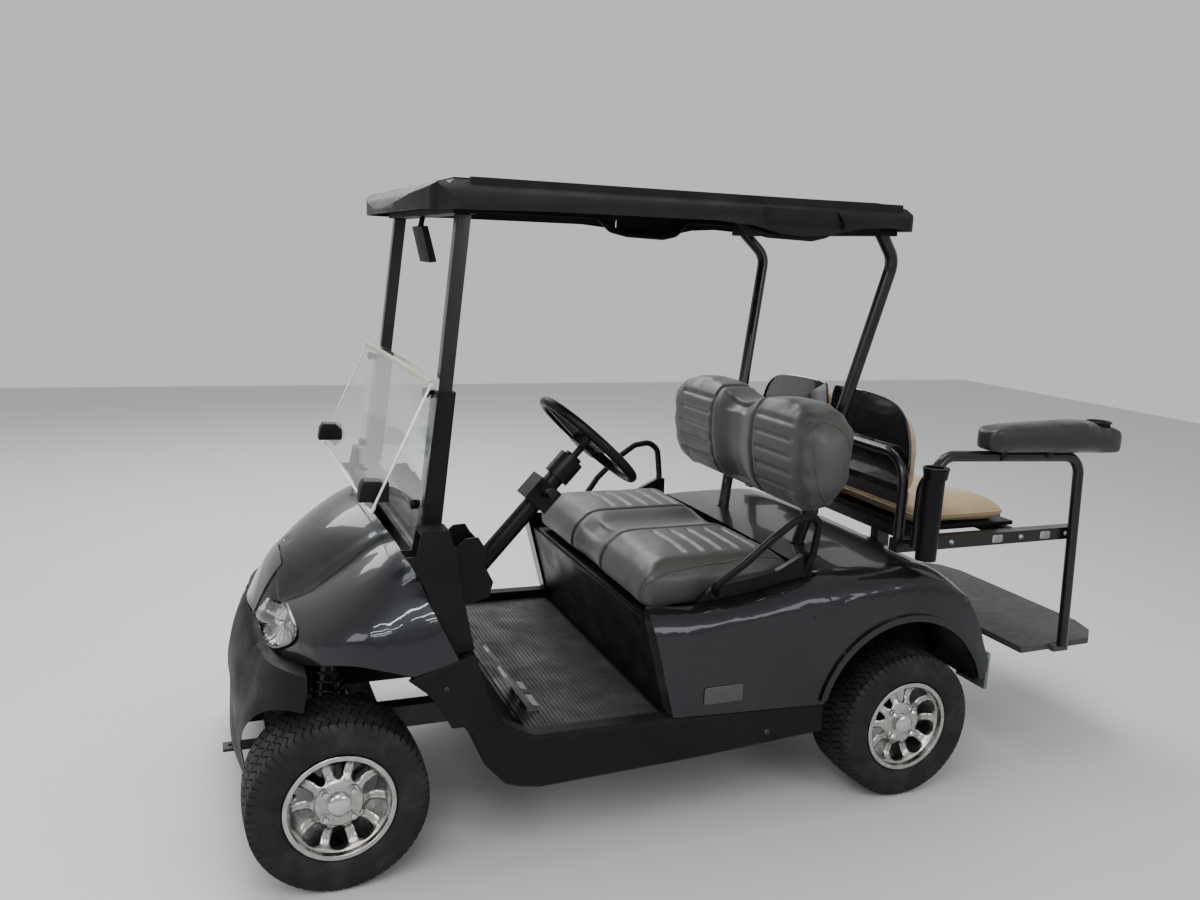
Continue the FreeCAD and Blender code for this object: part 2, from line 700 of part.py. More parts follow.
def roof_plan(inset):
    """The roof seen from above: a bowed front with rounded corners."""
    half, r = ROOF_HALF - inset, ROOF_CORNER - inset
    back, front = ROOF_BACK[0][0] + inset, ROOF_BOW - ROOF_SIDE_BACK - inset
    k = r * (1 - math.sqrt(0.5))
    left = [V(back, half - r, 0), V(back + k, half - k, 0), V(back + r, half, 0), V(front - r, half, 0),
            V(front - k, half - k, 0), V(front, half - r, 0)]
    right = [V(p.x, -p.y, 0) for p in left]
    edges = [arc(left[0], left[1], left[2]), line(left[2], left[3]), arc(left[3], left[4], left[5]),
             arc(left[5], V(ROOF_BOW - inset, 0, 0), right[5]), arc(right[5], right[4], right[3]),
             line(right[3], right[2]), arc(right[2], right[1], right[0]), line(right[0], left[0])]
    body = Part.Face(Part.Wire(edges)).extrude(V(0, 0, 200))
    body.translate(V(0, 0, 1600))
    return body


def roof_form(inset):
    """The roof's outer form, or its inside when inset by the wall."""
    outline = ROOF_FRONT + ROOF_DIP + ROOF_BACK + ROOF_VISOR
    side = xz_prism(outline, -ROOF_HALF, ROOF_HALF)
    if inset:
        face = xz_face(outline, -ROOF_HALF)
        side = face.makeOffset2D(-inset, join=2).extrude(V(0, 2 * ROOF_HALF, 0))
        open_under = box(90, 1462, -ROOF_HALF, ROOF_HALF, 1600, 1716)
        side = side.fuse(open_under)
    half = ROOF_HALF - inset
    ends = [(-half + 58, 1790 - inset), (-half + 10, 1742 - inset), (-half, 1715), (-half, 1600)]
    section = yz_prism(ends + [(-y, z) for y, z in reversed(ends)], 0, WHEELBASE)
    return side.common(section).common(roof_plan(inset))


def canopy():
    """The moulded roof, open below, with a grip pocket in each side and two beams for the posts."""
    pocket = xz_prism(PAD, ROOF_HALF - PAD_DEPTH, ROOF_HALF + 20)
    liner = xz_prism([(x, z + math.copysign(ROOF_T, z - 1730)) for x, z in PAD],
                     ROOF_HALF - PAD_DEPTH - ROOF_T, ROOF_HALF)
    hollow = roof_form(ROOF_T).cut(liner.fuse(mirrored(liner)))
    shell = roof_form(0).cut(hollow).cut(pocket.fuse(mirrored(pocket)))
    beams = []
    for x in (FRONT_TOP.x, REAR_TOP.x):
        beams.append(box(x - 30, x + 30, -440, 440, ROOF_SEAT + SEAT_GAP, ROOF_TOP - ROOF_T / 2))
    rib = box(REAR_TOP.x, FRONT_TOP.x, HANDLE_Y - 12, HANDLE_Y + 12, RIB_Z, ROOF_TOP - ROOF_T / 2)
    ribs = both(rib)
    return fuse(largest(shell), *(beams + ribs))


HANDLE_Y = 484.0
HANDLE = [(652, 1730), (604, 1690), (540, 1677), (400, 1673), (350, 1685), (310, 1730)]


def canopy_handle():
    """A grab handle that hangs under each rib of the roof."""
    points = [V(x, HANDLE_Y, z) for x, z in HANDLE]
    return tube(points, 10, 40).cut(box(300, 800, 400, 500, RIB_Z - SEAT_GAP, 1800))


def mirror():
    """A slim mirror that leans with the windshield, on its stem."""
    head = xz_prism([(1346, 1566), (1366, 1563), (1390, 1662), (1372, 1664)], -68, 68)
    stem = xz_prism([(1374, 1655), (1386, 1655), (1378, ROOF_SEAT + 4), (1366, ROOF_SEAT + 4)], -12, 12)
    whole = fuse(head, stem)
    return whole.cut(box(1300, 1420, -100, 100, ROOF_SEAT, 1800))


# Rear body: x, how far the side stands past the body, lower edge, side top, shoulder y and z, crown z
BODY = [
    (870, 0, 330, 604, 528, 668, 670),
    (720, 0, 330, 608, 526, 657, 660),
    (540, 0, 330, 626, 522, 676, 680),
    (380, 0, 330, 642, 512, 708, 714),
    (240, 0, 330, 655, 500, 720, 726),
    (100, 0, 330, 672, 490, 722, 730),
    (-20, 0, 330, 684, 480, 722, 730),
    (-110, 0, 330, 668, 480, 702, 710),
    (-190, -2, 330, 622, 480, 648, 656),
    (-244, -6, 330, 540, 480, 560, 566),
    (-310, -14, 330, 420, 480, 434, 438),
]
# The body seen from the side: front edge, lower edge and tail
BODY_SIDE = [(792, 362), (866, 640), (858, 760), (-200, 760), (-240, 566), (-278, 465), (-312, 394),
             (-312, 360), (-240, 350), (300, 338.6)]


def rear_body():
    outer = skin_form(BODY, 0, 0, False).common(xz_prism(BODY_SIDE, -FAR, FAR))
    inside = skin_form(BODY, BODY_T, 60, False)
    face = xz_face(BODY_SIDE, -FAR)
    inner_side = face.makeOffset2D(-BODY_T, join=2).extrude(V(0, 2 * FAR, 0))
    below = box(-302, 780, -FAR, FAR, 200, 372)
    shell = outer.cut(inside.common(inner_side.fuse(below)))
    lip = rod(V(ARCH_X, BODY_HALF - BODY_T, ARCH_Z), V(ARCH_X, BODY_HALF + ARCH_PROUD, ARCH_Z),
              ARCH_R + ARCH_LIP)
    lip = lip.common(xz_prism([(-330, 352), (400, 352), (400, 700), (-330, 700)], 0, FAR))
    arch = rod(V(ARCH_X, -FAR, ARCH_Z), V(ARCH_X, FAR, ARCH_Z), ARCH_R)
    shell = fuse(shell, *both(lip)).cut(arch)
    pod = box(POD_OPEN_REAR, 900, -POD_OPEN_HALF, POD_OPEN_HALF, 300, 900)
    shell = shell.cut(pod)
    leg = box(LEG_X - 24, LEG_X + 24, LEG_Y - 24, LEG_Y + 24, 600, 800)
    for piece in (rear_post_form(4), leg):
        shell = shell.cut(piece.fuse(mirrored(piece)))
    shell = shell.cut(box(-400, -200, -250, 250, 300, 400))
    rim = box(POD_OPEN_REAR - BODY_T, 900, -POD_OPEN_HALF - BODY_T, POD_OPEN_HALF + BODY_T, 560, 900).cut(pod)
    return largest(fuse(shell, rim.common(outer)))


def wheel_liner():
    """The black liner over each rear tyre."""
    outer_y = BODY_HALF - BODY_T - SEAT_GAP
    inner_y = BODY_HALF - LINER_DEPTH
    radius = ARCH_R - SEAT_GAP
    drum = rod(V(ARCH_X, inner_y, ARCH_Z), V(ARCH_X, outer_y, ARCH_Z), radius)
    room = rod(V(ARCH_X, inner_y + LINER_T, ARCH_Z), V(ARCH_X, outer_y, ARCH_Z), radius - LINER_T)
    return drum.cut(room).common(box(-FAR, FAR, 0, FAR, LINER_LOW, FAR))


def hinge_ears(x0, x1, z0, z1, pin_x, pin_z, pin):
    """Pairs of ears with a pin between them, either side of the middle."""
    parts = []
    for y in (HINGE_Y, -HINGE_Y):
        for side in (-1, 1):
            centre = y + side * EAR_GAP
            parts.append(box(x0, x1, centre - EAR_T / 2, centre + EAR_T / 2, z0, z1))
        reach = EAR_GAP + EAR_T / 2
        parts.append(rod(V(pin_x, y - reach, pin_z), V(pin_x, y + reach, pin_z), pin))
    return parts


def hinge_bores(shape, x, z, pin):
    for y in (HINGE_Y, -HINGE_Y):
        shape = shape.cut(rod(V(x, y - 20, z), V(x, y + 20, z), pin + RUN_FIT))
    return shape


def seat_base():
    """The kick panel, its ledges and rear wall, with the ears of the seat's hinge."""
    half = POD_OPEN_HALF - SEAT_GAP
    front = [(778, 336), (848, SEAT_FLOOR - 6), (848, SEAT_FLOOR), (700, SEAT_FLOOR), (700, SEAT_FLOOR - 6),
             (841, SEAT_FLOOR - 6), (772, 336)]
    panel = xz_prism(front, -half, half)
    rear = box(POD_OPEN_REAR + SEAT_GAP, POD_OPEN_REAR + 7, -half, half, 330, 690)
    ledge = box(POD_OPEN_REAR + 1, 400, -half, half, SEAT_FLOOR - 6, SEAT_FLOOR)
    walls = both(box(POD_OPEN_REAR + 1, POD_FRONT, half - 7, half, SEAT_FLOOR - 90, SEAT_FLOOR))
    ahead = xz_prism([(778, 336), (848, SEAT_FLOOR), (900, SEAT_FLOOR), (900, 336)], -FAR, FAR)
    walls = [wall.cut(ahead) for wall in walls]
    ears = hinge_ears(POD_OPEN_REAR + 1, HINGE_X + 9, 640, HINGE_Z + 9, HINGE_X, HINGE_Z, HINGE_PIN)
    return fuse(panel, rear, ledge, *(walls + ears))


def battery_pack():
    return box(440, 690, -330, 330, RAIL_TOP + SEAT_GAP, SEAT_FLOOR - 52)


def seat_board():
    half = CUSHION_HALF - 20
    board = box(HINGE_X + 8, POD_FRONT, -half, half, SEAT_FLOOR + SEAT_GAP, SEAT_FLOOR + LID_BOARD)
    lugs = []
    for y in (HINGE_Y, -HINGE_Y):
        lugs.append(box(HINGE_X - 8, HINGE_X + 9, y - EAR_T, y + EAR_T, SEAT_FLOOR + SEAT_GAP, HINGE_Z))
        lugs.append(rod(V(HINGE_X, y - EAR_T, HINGE_Z), V(HINGE_X, y + EAR_T, HINGE_Z), LUG_RADIUS))
    return hinge_bores(fuse(board, *lugs), HINGE_X, HINGE_Z, HINGE_PIN)


def seat_cushion():
    """The two-place cushion: rounded nose, dished middle, rounded ends."""
    base = SEAT_FLOOR + LID_BOARD + SEAT_GAP
    x0 = HINGE_X + 14
    side = [(x0, base), (852, base), (867, 645), (864, 690), (846, 732), (800, 760), (700, CUSHION_TOP),
            (520, CUSHION_TOP - 4), (400, 766), (x0, 738)]
    cushion = xz_prism(side, -CUSHION_HALF, CUSHION_HALF)
    half = CUSHION_HALF
    ends = [(-half, base), (-half, 716), (-half + 14, 742), (-half + 52, 762), (-280, CUSHION_TOP),
            (-90, 766), (0, 758)]
    section = yz_prism(ends + [(-y, z) for y, z in reversed(ends[:-1])], 0, 1000)
    plan = round_corners(270, half, 60, V(605, 0, 0), base - 1, 900)
    plan = plan.fuse(box(x0, 560, -half, half, base - 1, 900))
    return cushion.common(section).common(plan)


# Side profile of the seat back: rear edge from the bottom up, then the front edge down
BACK_REAR = [(238, 842), (184, 981), (160, 1130), (184, 1215)]
BACK_FRONT = [(296, 1224), (324, 1192), (342, 1120), (344, 1020), (314, 884), (292, 842)]
# Half of the seat back's outline from the front: y as a share of the half width, and z
BACK_OUTLINE = [(0, 842), (0.79, 842), (0.92, 876), (0.99, 950), (1.0, 1040), (0.965, 1126), (0.875, 1184),
                (0.74, 1212), (0.54, 1221), (0.33, 1210), (0.14, 1190), (0, 1184)]


def seat_back():
    left = [(share * BACK_HALF, z) for share, z in BACK_OUTLINE]
    outline = left + [(-y, z) for y, z in reversed(left[1:-1])]
    profile = xz_prism(BACK_REAR + BACK_FRONT, -FAR, FAR)
    ends = round_corners(110, BACK_HALF, 78, V(250, 0, 0), 800, 1300)
    return profile.common(yz_prism(outline, 100, 400)).common(ends)


def back_face_x(z):
    """The seat back's rear face at a height."""
    for (x0, z0), (x1, z1) in zip(BACK_REAR, BACK_REAR[1:]):
        if z0 <= z <= z1:
            return x0 + (x1 - x0) * (z - z0) / (z1 - z0)
    return BACK_REAR[0][0]


def back_bracket():
    out = []
    for z in (900, 1085):
        c = at_height(REAR_BEND, REAR_FOOT, z)
        x0, lift = c.x + REAR_POST_R * 0.6, 24
        reach = [(x0, z - lift), (back_face_x(z - lift) - SEAT_GAP, z - lift),
                 (back_face_x(z + lift) - SEAT_GAP, z + lift), (x0, z + lift)]
        plate = xz_prism(reach, c.y - 30, c.y + 30)
        out.append(largest(plate.cut(rear_post_form(SEAT_GAP))))
    return out


# Hip restraint: x, bow outwards as a share of the whole, z
HIP_LOOP = [(640, 0, 680), (655, 0.25, 706), (585, 0.85, 778), (505, 1, 848), (435, 1, 896), (378, 0.9, 906),
            (345, 0.75, 880), (343, 0.4, 790), (352, 0, 720), (360, 0, 690)]
HIP_PLATE = [(706, 640), (700, 668), (655, 702), (560, 716), (450, 734), (366, 776), (334, 776), (332, 700),
             (352, 650), (400, 634)]


def hip_restraint():
    """A moulded side plate beside the cushion with a loop that bows outwards."""
    points = [V(x, LOOP_Y + bow * LOOP_BOW, z) for x, bow, z in HIP_LOOP]
    loop = tube(points, LOOP_R, 40)
    plate = xz_prism(HIP_PLATE, LOOP_Y - LOOP_T / 2, LOOP_Y + LOOP_T / 2)
    wall = POD_OPEN_HALF - SEAT_GAP
    feet = [rod(V(x, LOOP_Y, 652), V(x, wall, 652), 9) for x in (640, 440)]
    return fuse(plate, loop, *feet)


def kit_frame():
    """Rails, beams, hoop and legs of the rear seat, with the ears of its flip hinge."""
    half = KIT_RAIL / 2
    low, high = KIT_RAIL_Z - half, KIT_RAIL_Z + half
    rails = both(box(KIT_REAR, 0, KIT_RAIL_Y - half, KIT_RAIL_Y + half, low, high))
    cross = [box(x, x + KIT_BEAM_W, -KIT_RAIL_Y, KIT_RAIL_Y, low, high - 4) for x in (-150, -505)]
    post = V(-half, KIT_RAIL_Y - 4, KIT_RAIL_Z)
    top = V(post.x, post.y, HOOP_TOP)
    hoop = tube([post, top, V(top.x, -top.y, top.z), V(post.x, -post.y, post.z)], HOOP_R, 90)
    bars = [box(-KIT_RAIL, -4, -KIT_RAIL_Y, KIT_RAIL_Y, HOOP_BAR, HOOP_BAR + KIT_BEAM_W)]
    bars += both(box(-KIT_RAIL, -half, 180, 250, HOOP_TOP - 30, HOOP_TOP + HOOP_R))
    foot = RAIL_TOP + KICKUP + SEAT_GAP
    legs = both(box(LEG_X - half, LEG_X + half, LEG_Y - half, LEG_Y + half, foot, KIT_RAIL_Z))
    ears = hinge_ears(FLIP_X - 9, FLIP_X + 9, low, FLIP_Z + 8, FLIP_X, FLIP_Z, FLIP_PIN)
    feet = hinge_ears(FLIP_X - 9, -480, low, low + 30, FLIP_X, low + 15, FLIP_PIN)
    return fuse(rails[0], *(rails[1:] + cross + [hoop] + bars + legs + ears + feet))


# The grab rail's corners, from the deck over the armrest's line and down to the footplate
GRAB_PATH = [(-48, GRAB_Y + GRAB_LEAN, DECK_Z + 42), (-52, GRAB_Y + GRAB_LEAN, 960), (-140, GRAB_Y, GRAB_TOP + 4),
             (-676, GRAB_Y, GRAB_TOP - 16), (-706, GRAB_Y, PLATE_Z + 4 * SEAT_GAP)]


def grab_rail():
    return tube([V(*corner) for corner in GRAB_PATH], GRAB_R, 66)


def canister():
    """The slim bottle of divot sand that hangs outside the rail."""
    side = GRAB_Y + GRAB_LEAN + GRAB_R + SEAT_GAP
    y = side + CAN_RADIUS + 1
    body = Part.makeCone(CAN_RADIUS - 6, CAN_RADIUS - 3, 250, V(-44, y, 742))
    mouth = Part.makeCone(CAN_RADIUS - 3, CAN_RADIUS + 2, 34, V(-48, y + 3, 992))
    bore = Part.makeCylinder(CAN_RADIUS - 9, 270, V(-44, y, 770))
    hook = box(-64, -30, side, y - 20, 860, 900)
    return fuse(body, mouth, hook).cut(bore)


def rear_board():
    """The flip seat's board, which folds over to a load deck."""
    low, high = FLIP_Z - 6, FLIP_Z - 6 + FLIP_BOARD_T
    parts = [box(FLIP_X + 17, -110, -FLIP_HALF, FLIP_HALF, low, high)]
    for y in (HINGE_Y, -HINGE_Y):
        parts.append(box(FLIP_X, FLIP_X + 20, y - EAR_T, y + EAR_T, low, high))
        parts.append(rod(V(FLIP_X, y - EAR_T, FLIP_Z), V(FLIP_X, y + EAR_T, FLIP_Z), FLIP_EYE))
    return hinge_bores(fuse(parts[0], *parts[1:]), FLIP_X, FLIP_Z, FLIP_PIN)


def rear_cushion():
    base = FLIP_Z - 6 + FLIP_BOARD_T + SEAT_GAP
    side = [(-512, base), (-102, base), (-102, 850), (-130, 868), (-420, 868), (-478, 856), (-508, 828)]
    half = FLIP_HALF + 15
    ends = [(-half, base), (-half, 836), (-half + 22, 858), (-half + 80, 869)]
    section = yz_prism(ends + [(-y, z) for y, z in reversed(ends)], -600, 0)
    return xz_prism(side, -half, half).common(section)


# Half of a rear backrest from behind: y and z, from the inner foot round
PAD_OUTLINE = [(26, 900), (400, 900), (425, 930), (430, 1040), (416, 1105), (384, 1150), (330, 1176),
               (220, 1186), (60, 1188), (26, 1180)]
PAD_FRONT = -40.0
PAD_REAR = -98.0
SHELL_T = 3.0
SHELL_GROW = 20.0


def rear_backrest():
    return yz_prism(PAD_OUTLINE, PAD_REAR, PAD_FRONT - SHELL_T - 2 * SEAT_GAP)


def rear_shell():
    """The black shell that backs each pad and stands out round it."""
    corners = [V(PAD_FRONT - SHELL_T - SEAT_GAP, y, z) for y, z in PAD_OUTLINE]
    face = Part.Face(Part.makePolygon(corners + corners[:1]))
    wide = face.makeOffset2D(SHELL_GROW, join=2).extrude(V(SHELL_T, 0, 0))
    return wide.common(box(-FAR, FAR, 6, FAR, 0, FAR))


def footplate():
    outline = [(PLATE_FRONT, -PLATE_HALF), (PLATE_FRONT, PLATE_HALF), (-862, PLATE_HALF - 8), (-930, 392),
               (PLATE_REAR, 300), (PLATE_REAR, -300), (-930, -392), (-862, -PLATE_HALF + 8)]
    plate = xy_prism(outline, PLATE_Z - PLATE_T, PLATE_Z)
    struts = both(box(PLATE_FRONT - 20, RAIL_REAR - SEAT_GAP, RAIL_Y - 18, RAIL_Y + 18,
                      PLATE_Z - PLATE_T, PLATE_Z - 2))
    feet = both(box(-740, -676, GRAB_Y - 24, PLATE_HALF + 22, PLATE_Z - PLATE_T, PLATE_Z))
    return fuse(plate, *(struts + feet))


def grab_top(x):
    """The height of the grab rail's upper side, where it runs under the armrest."""
    front, rear = GRAB_PATH[2], GRAB_PATH[3]
    share = (x - front[0]) / (rear[0] - front[0])
    return front[2] + (rear[2] - front[2]) * share + GRAB_R


def armrest():
    """A padded rest on the driver's grab rail, with a cup hole at its rear end."""
    x0, x1 = ARMREST_REAR, ARMREST_FRONT
    z0, z1 = grab_top(x0) + SEAT_GAP, grab_top(x1) + SEAT_GAP
    mid = V((x0 + x1) / 2, GRAB_Y, 0)
    rest = round_corners((x1 - x0) / 2, ARMREST_HALF, 34, mid, z0, z1 + ARMREST_T)
    side = [(x0, z0), (x1, z1), (x1, z1 + 64), (x1 - 30, z1 + 78), (x0 + 180, z1 + ARMREST_T),
            (x0 + 30, z0 + 84), (x0, z0 + 68)]
    rest = rest.common(xz_prism(side, GRAB_Y - ARMREST_HALF, GRAB_Y + ARMREST_HALF))
    return rest.cut(Part.makeCylinder(CUP_RADIUS, ARMREST_T, V(x0 + 86, GRAB_Y, z0 + 22)))


def tail_lamp():
    """A red lamp let into the corner of the tail."""
    region = xz_prism([(-214, 600), (-330, 590), (-330, 520), (-246, 520)], 440, BODY_HALF - 24)
    inner = skin_form(BODY, -SEAT_GAP, 0, False).common(xz_prism(BODY_SIDE, -FAR, FAR).fuse(
        xz_prism([(-200, 760), (-240.5, 566), (-278.5, 465), (-100, 465), (-100, 760)], -FAR, FAR)))
    proud = skin_form(BODY, -8, 0, False)
    return largest(region.common(proud).cut(inner))


def mudflap():
    tail = BODY[-1][0] - SEAT_GAP
    return box(tail - 12, tail, 440, 570, 300, 420)


def rear_axle():
    parts = [rod(V(0, -392, AXLE_Z), V(0, 392, AXLE_Z), AXLE_TUBE)]
    for s in (1, -1):
        parts.append(rod(V(0, s * 380, AXLE_Z), V(0, s * 430, AXLE_Z), DRUM_RADIUS))
        parts.append(rod(V(0, s * 430, AXLE_Z), V(0, s * (REAR_WHEEL_Y + STUB_REACH), AXLE_Z), STUB_RADIUS))
    parts.append(rod(V(0, -GEARBOX_HALF, AXLE_Z), V(0, GEARBOX_HALF, AXLE_Z), 80))
    parts.append(box(0, MOTOR_X + 60, -GEARBOX_HALF, GEARBOX_HALF, AXLE_Z - 55, AXLE_Z + 75))
    return fuse(parts[0], *parts[1:])


def drive_motor():
    start = GEARBOX_HALF + SEAT_GAP
    return rod(V(MOTOR_X, start, AXLE_Z + 20), V(MOTOR_X, start + MOTOR_LENGTH, AXLE_Z + 20), MOTOR_RADIUS)


def knuckle():
    """The kingpin with its stub shaft and the steering arm to the rack."""
    height = KNUCKLE_HIGH - KNUCKLE_LOW
    upright = Part.makeCylinder(KINGPIN_RADIUS, height, V(WHEELBASE, KINGPIN_Y, KNUCKLE_LOW))
    stub = rod(V(WHEELBASE, KINGPIN_Y, AXLE_Z), V(WHEELBASE, FRONT_WHEEL_Y + STUB_REACH, AXLE_Z), STUB_RADIUS)
    arm_z = RACK_Z + 16
    arm = box(0, math.hypot(ARM_BACK, ARM_IN), -10, 10, 0, ARM_T)
    arm.rotate(V(0, 0, 0), V(0, 0, 1), math.degrees(math.atan2(-ARM_IN, -ARM_BACK)))
    arm.translate(V(WHEELBASE, KINGPIN_Y, arm_z))
    eye = Part.makeCylinder(14, ARM_T, V(WHEELBASE - ARM_BACK, KINGPIN_Y - ARM_IN, arm_z))
    return fuse(upright, stub, arm, eye)


def tie_rods():
    x = WHEELBASE - ARM_BACK
    reach = KINGPIN_Y - ARM_IN
    bar = rod(V(x, -reach, RACK_Z), V(x, reach, RACK_Z), TIE_ROD_RADIUS)
    ends = [Part.makeCylinder(TIE_END_RADIUS, 24, V(x, s * reach, RACK_Z - 10)) for s in (1, -1)]
    return fuse(bar, *ends)


def steering_rack():
    x = WHEELBASE - ARM_BACK
    housing = rod(V(x, -RACK_HALF, RACK_Z), V(x, RACK_HALF, RACK_Z), RACK_RADIUS)
    reach = RACK_HALF + 5
    return housing.cut(rod(V(x, -reach, RACK_Z), V(x, reach, RACK_Z), TIE_ROD_RADIUS + RUN_FIT))


def lower_arm():
    root = RAIL_OUT + SEAT_GAP
    outline = [(-ARM_SPREAD, root), (-ARM_SPREAD + ARM_PAD, root), (-20, STRUT_Y - 24), (20, STRUT_Y - 24),
               (ARM_SPREAD - ARM_PAD, root), (ARM_SPREAD, root), (26, KINGPIN_Y + 20), (-26, KINGPIN_Y + 20)]
    return xy_prism(at(outline), LOW_ARM_Z, LOW_ARM_Z + LOW_ARM_T)


def strut():
    foot = LOW_ARM_Z + LOW_ARM_T + SEAT_GAP
    damper = Part.makeCylinder(STRUT_RADIUS, TOWER_Z - SEAT_GAP - foot, V(WHEELBASE, STRUT_Y, foot))
    return damper.fuse(Part.makeCylinder(COIL_RADIUS, COIL_LENGTH, V(WHEELBASE, STRUT_Y, COIL_FOOT)))


def rear_spring():
    """A leaf spring that lies on the axle tube and is hung from the frame at both ends."""
    seat = AXLE_Z + AXLE_TUBE + SEAT_GAP
    hang = RAIL_LOW + KICKUP - HANGER_DROP - SEAT_GAP
    y0 = SPRING_Y - SPRING_W / 2
    under = hang - SPRING_T
    low = [V(x, y0, z) for x, z in ((-SPRING_HALF, under), (0, seat), (SPRING_HALF, under))]
    high = [V(x, y0, z) for x, z in ((SPRING_HALF, hang), (0, seat + SPRING_T * 1.5), (-SPRING_HALF, hang))]
    wire = Part.Wire([arc(*low), line(low[-1], high[0]), arc(*high), line(high[-1], low[0])])
    return Part.Face(wire).extrude(V(0, SPRING_W, 0))


def tyre():
    """A low tyre with square shoulders, turned about Y."""
    half = TYRE_WIDTH / 2
    left = [V(0, y, r) for y, r in ((-80, BEAD_RADIUS + 1), (-87.5, FLANGE_RADIUS + 1), (-half + 4, 156),
                                    (-half, 185), (-half + 6, 212), (-half + 20, TYRE_RADIUS - 4.5))]
    right = [V(0, -p.y, p.z) for p in reversed(left)]
    edges = [line(left[0], left[1]), line(left[1], left[2]), arc(left[2], left[3], left[4]),
             line(left[4], left[5]), arc(left[5], V(0, 0, TYRE_RADIUS), right[0]), line(right[0], right[1]),
             arc(right[1], right[2], right[3]), line(right[3], right[4]), line(right[4], right[5]),
             line(right[5], left[0])]
    return Part.Face(Part.Wire(edges)).revolve(V(0, 0, 0), V(0, 1, 0), 360)


def ring(radius, bore, y0, y1):
    outer = rod(V(0, y0, 0), V(0, y1, 0), radius)
    return outer.cut(rod(V(0, y0 - 1, 0), V(0, y1 + 1, 0), bore))


def spoke():
    """One raked spoke: narrow at the hub, wide at the barrel, leaning round the wheel."""
    root, tip = HUB_RADIUS - 6, BEAD_RADIUS - BARREL_WALL + 2
    wires = []
    # sections: radius, width, shift round the wheel, depth below the rim's face
    rows = ((root, SPOKE_ROOT_W, 0, 2), ((root + tip) / 2, SPOKE_ROOT_W + 2, SPOKE_RAKE * 0.38, 8),
            (tip, SPOKE_TIP_W, SPOKE_RAKE, 3))
    for r, w, shift, sink in rows:
        face = RIM_FACE_Y - sink
        corners = [(shift - w / 2, face - SPOKE_DEPTH), (shift + w / 2, face - SPOKE_DEPTH),
                   (shift + w / 2 - SPOKE_BEVEL, face), (shift - w / 2 + SPOKE_BEVEL, face)]
        wires.append(Part.makePolygon([V(x, y, r) for x, y in corners + corners[:1]]))
    return Part.makeLoft(wires, True, True).common(rod(V(0, -100, 0), V(0, 100, 0), BEAD_RADIUS - 1))


def rim():
    """The rim with its face towards +Y and its centre at the origin."""
    bore = BEAD_RADIUS - BARREL_WALL
    parts = [ring(BEAD_RADIUS, bore, -FLANGE_Y, FLANGE_Y - FLANGE_T),
             ring(FLANGE_RADIUS, bore, -FLANGE_Y, -FLANGE_Y + FLANGE_T),
             ring(FLANGE_RADIUS, bore, FLANGE_Y - FLANGE_T, FLANGE_Y),
             rod(V(0, RIM_FACE_Y - HUB_DEPTH, 0), V(0, RIM_FACE_Y, 0), HUB_RADIUS),
             Part.makeCone(CAP_RADIUS, CAP_RADIUS - 9, CAP_HEIGHT, V(0, RIM_FACE_Y - 2, 0), V(0, 1, 0))]
    arm = spoke()
    for i in range(SPOKES):
        turned = arm.copy()
        turned.rotate(V(0, 0, 0), V(0, 1, 0), i * 360.0 / SPOKES)
        parts.append(turned)
    whole = fuse(parts[0], *parts[1:])
    return whole.cut(rod(V(0, -30, 0), V(0, STUB_REACH + 5, 0), STUB_RADIUS + RUN_FIT))


save("chassis_frame", *both(frame_rail()))
save("cross_members", *cross_members())
save("frame_brackets", *frame_brackets())
save("floor_pan", floor_pan())
save("floor_mat", floor_mat())
save("sills", *both(sill()))
save("front_cowl", front_cowl())
save("front_bumper", front_bumper())
save("nose_trim", nose_trim())
save("headlamps", *both(headlamp()))
save("dashboard", dashboard())
save("steering_column", steering_column())
save("steering_wheel", steering_wheel())
save("pedals", *pedals())
save("front_posts", *both(front_post()))
save("post_covers", *both(post_cover()))
save("windshield_lower", windshield_lower())
save("windshield_upper", windshield_upper())
save("windshield_clips", *both(windshield_clip()))
save("rear_posts", *both(rear_post()))
save("canopy", canopy())
save("canopy_handles", *both(canopy_handle()))
save("mirror", mirror())
save("rear_body", rear_body())
save("wheel_liners", *both(wheel_liner()))
save("seat_base", seat_base())
save("battery_pack", battery_pack())
save("seat_board", seat_board())
save("seat_cushion", seat_cushion())
save("seat_back", seat_back())
save("back_brackets", *(back_bracket() + [mirrored(plate) for plate in back_bracket()]))
save("hip_restraints", *both(hip_restraint()))
save("rear_seat_frame", kit_frame())
save("grab_rails", *both(grab_rail()))
save("sand_canister", canister())
save("rear_seat_board", rear_board())
save("rear_cushion", rear_cushion())
save("rear_backrests", *both(rear_backrest()))
save("backrest_shells", *both(rear_shell()))
save("footplate", footplate())
save("armrest", armrest())
save("tail_lamps", *both(tail_lamp()))
save("mudflaps", *both(mudflap()))
save("rear_axle", rear_axle())
save("drive_motor", drive_motor())
save("rear_springs", *both(rear_spring()))
save("lower_arms", *both(lower_arm()))
save("front_struts", *both(strut()))
save("steering_rack", steering_rack())
save("tie_rods", tie_rods())
save("knuckle_left", knuckle())
save("knuckle_right", mirrored(knuckle()))
for place, x, y in (("front_left", WHEELBASE, FRONT_WHEEL_Y), ("front_right", WHEELBASE, -FRONT_WHEEL_Y),
                    ("rear_left", 0.0, REAR_WHEEL_Y), ("rear_right", 0.0, -REAR_WHEEL_Y)):
    for kind, shape in (("tyre", tyre()), ("rim", rim())):
        piece = mirrored(shape) if y < 0 else shape.copy()
        piece.translate(V(x, y, AXLE_Z))
        save("%s_%s" % (kind, place), piece)
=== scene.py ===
"""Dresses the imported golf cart: a finish for every surface, and tyres, wheels, seats, lamps and trim."""

import json
import math
from contextlib import contextmanager

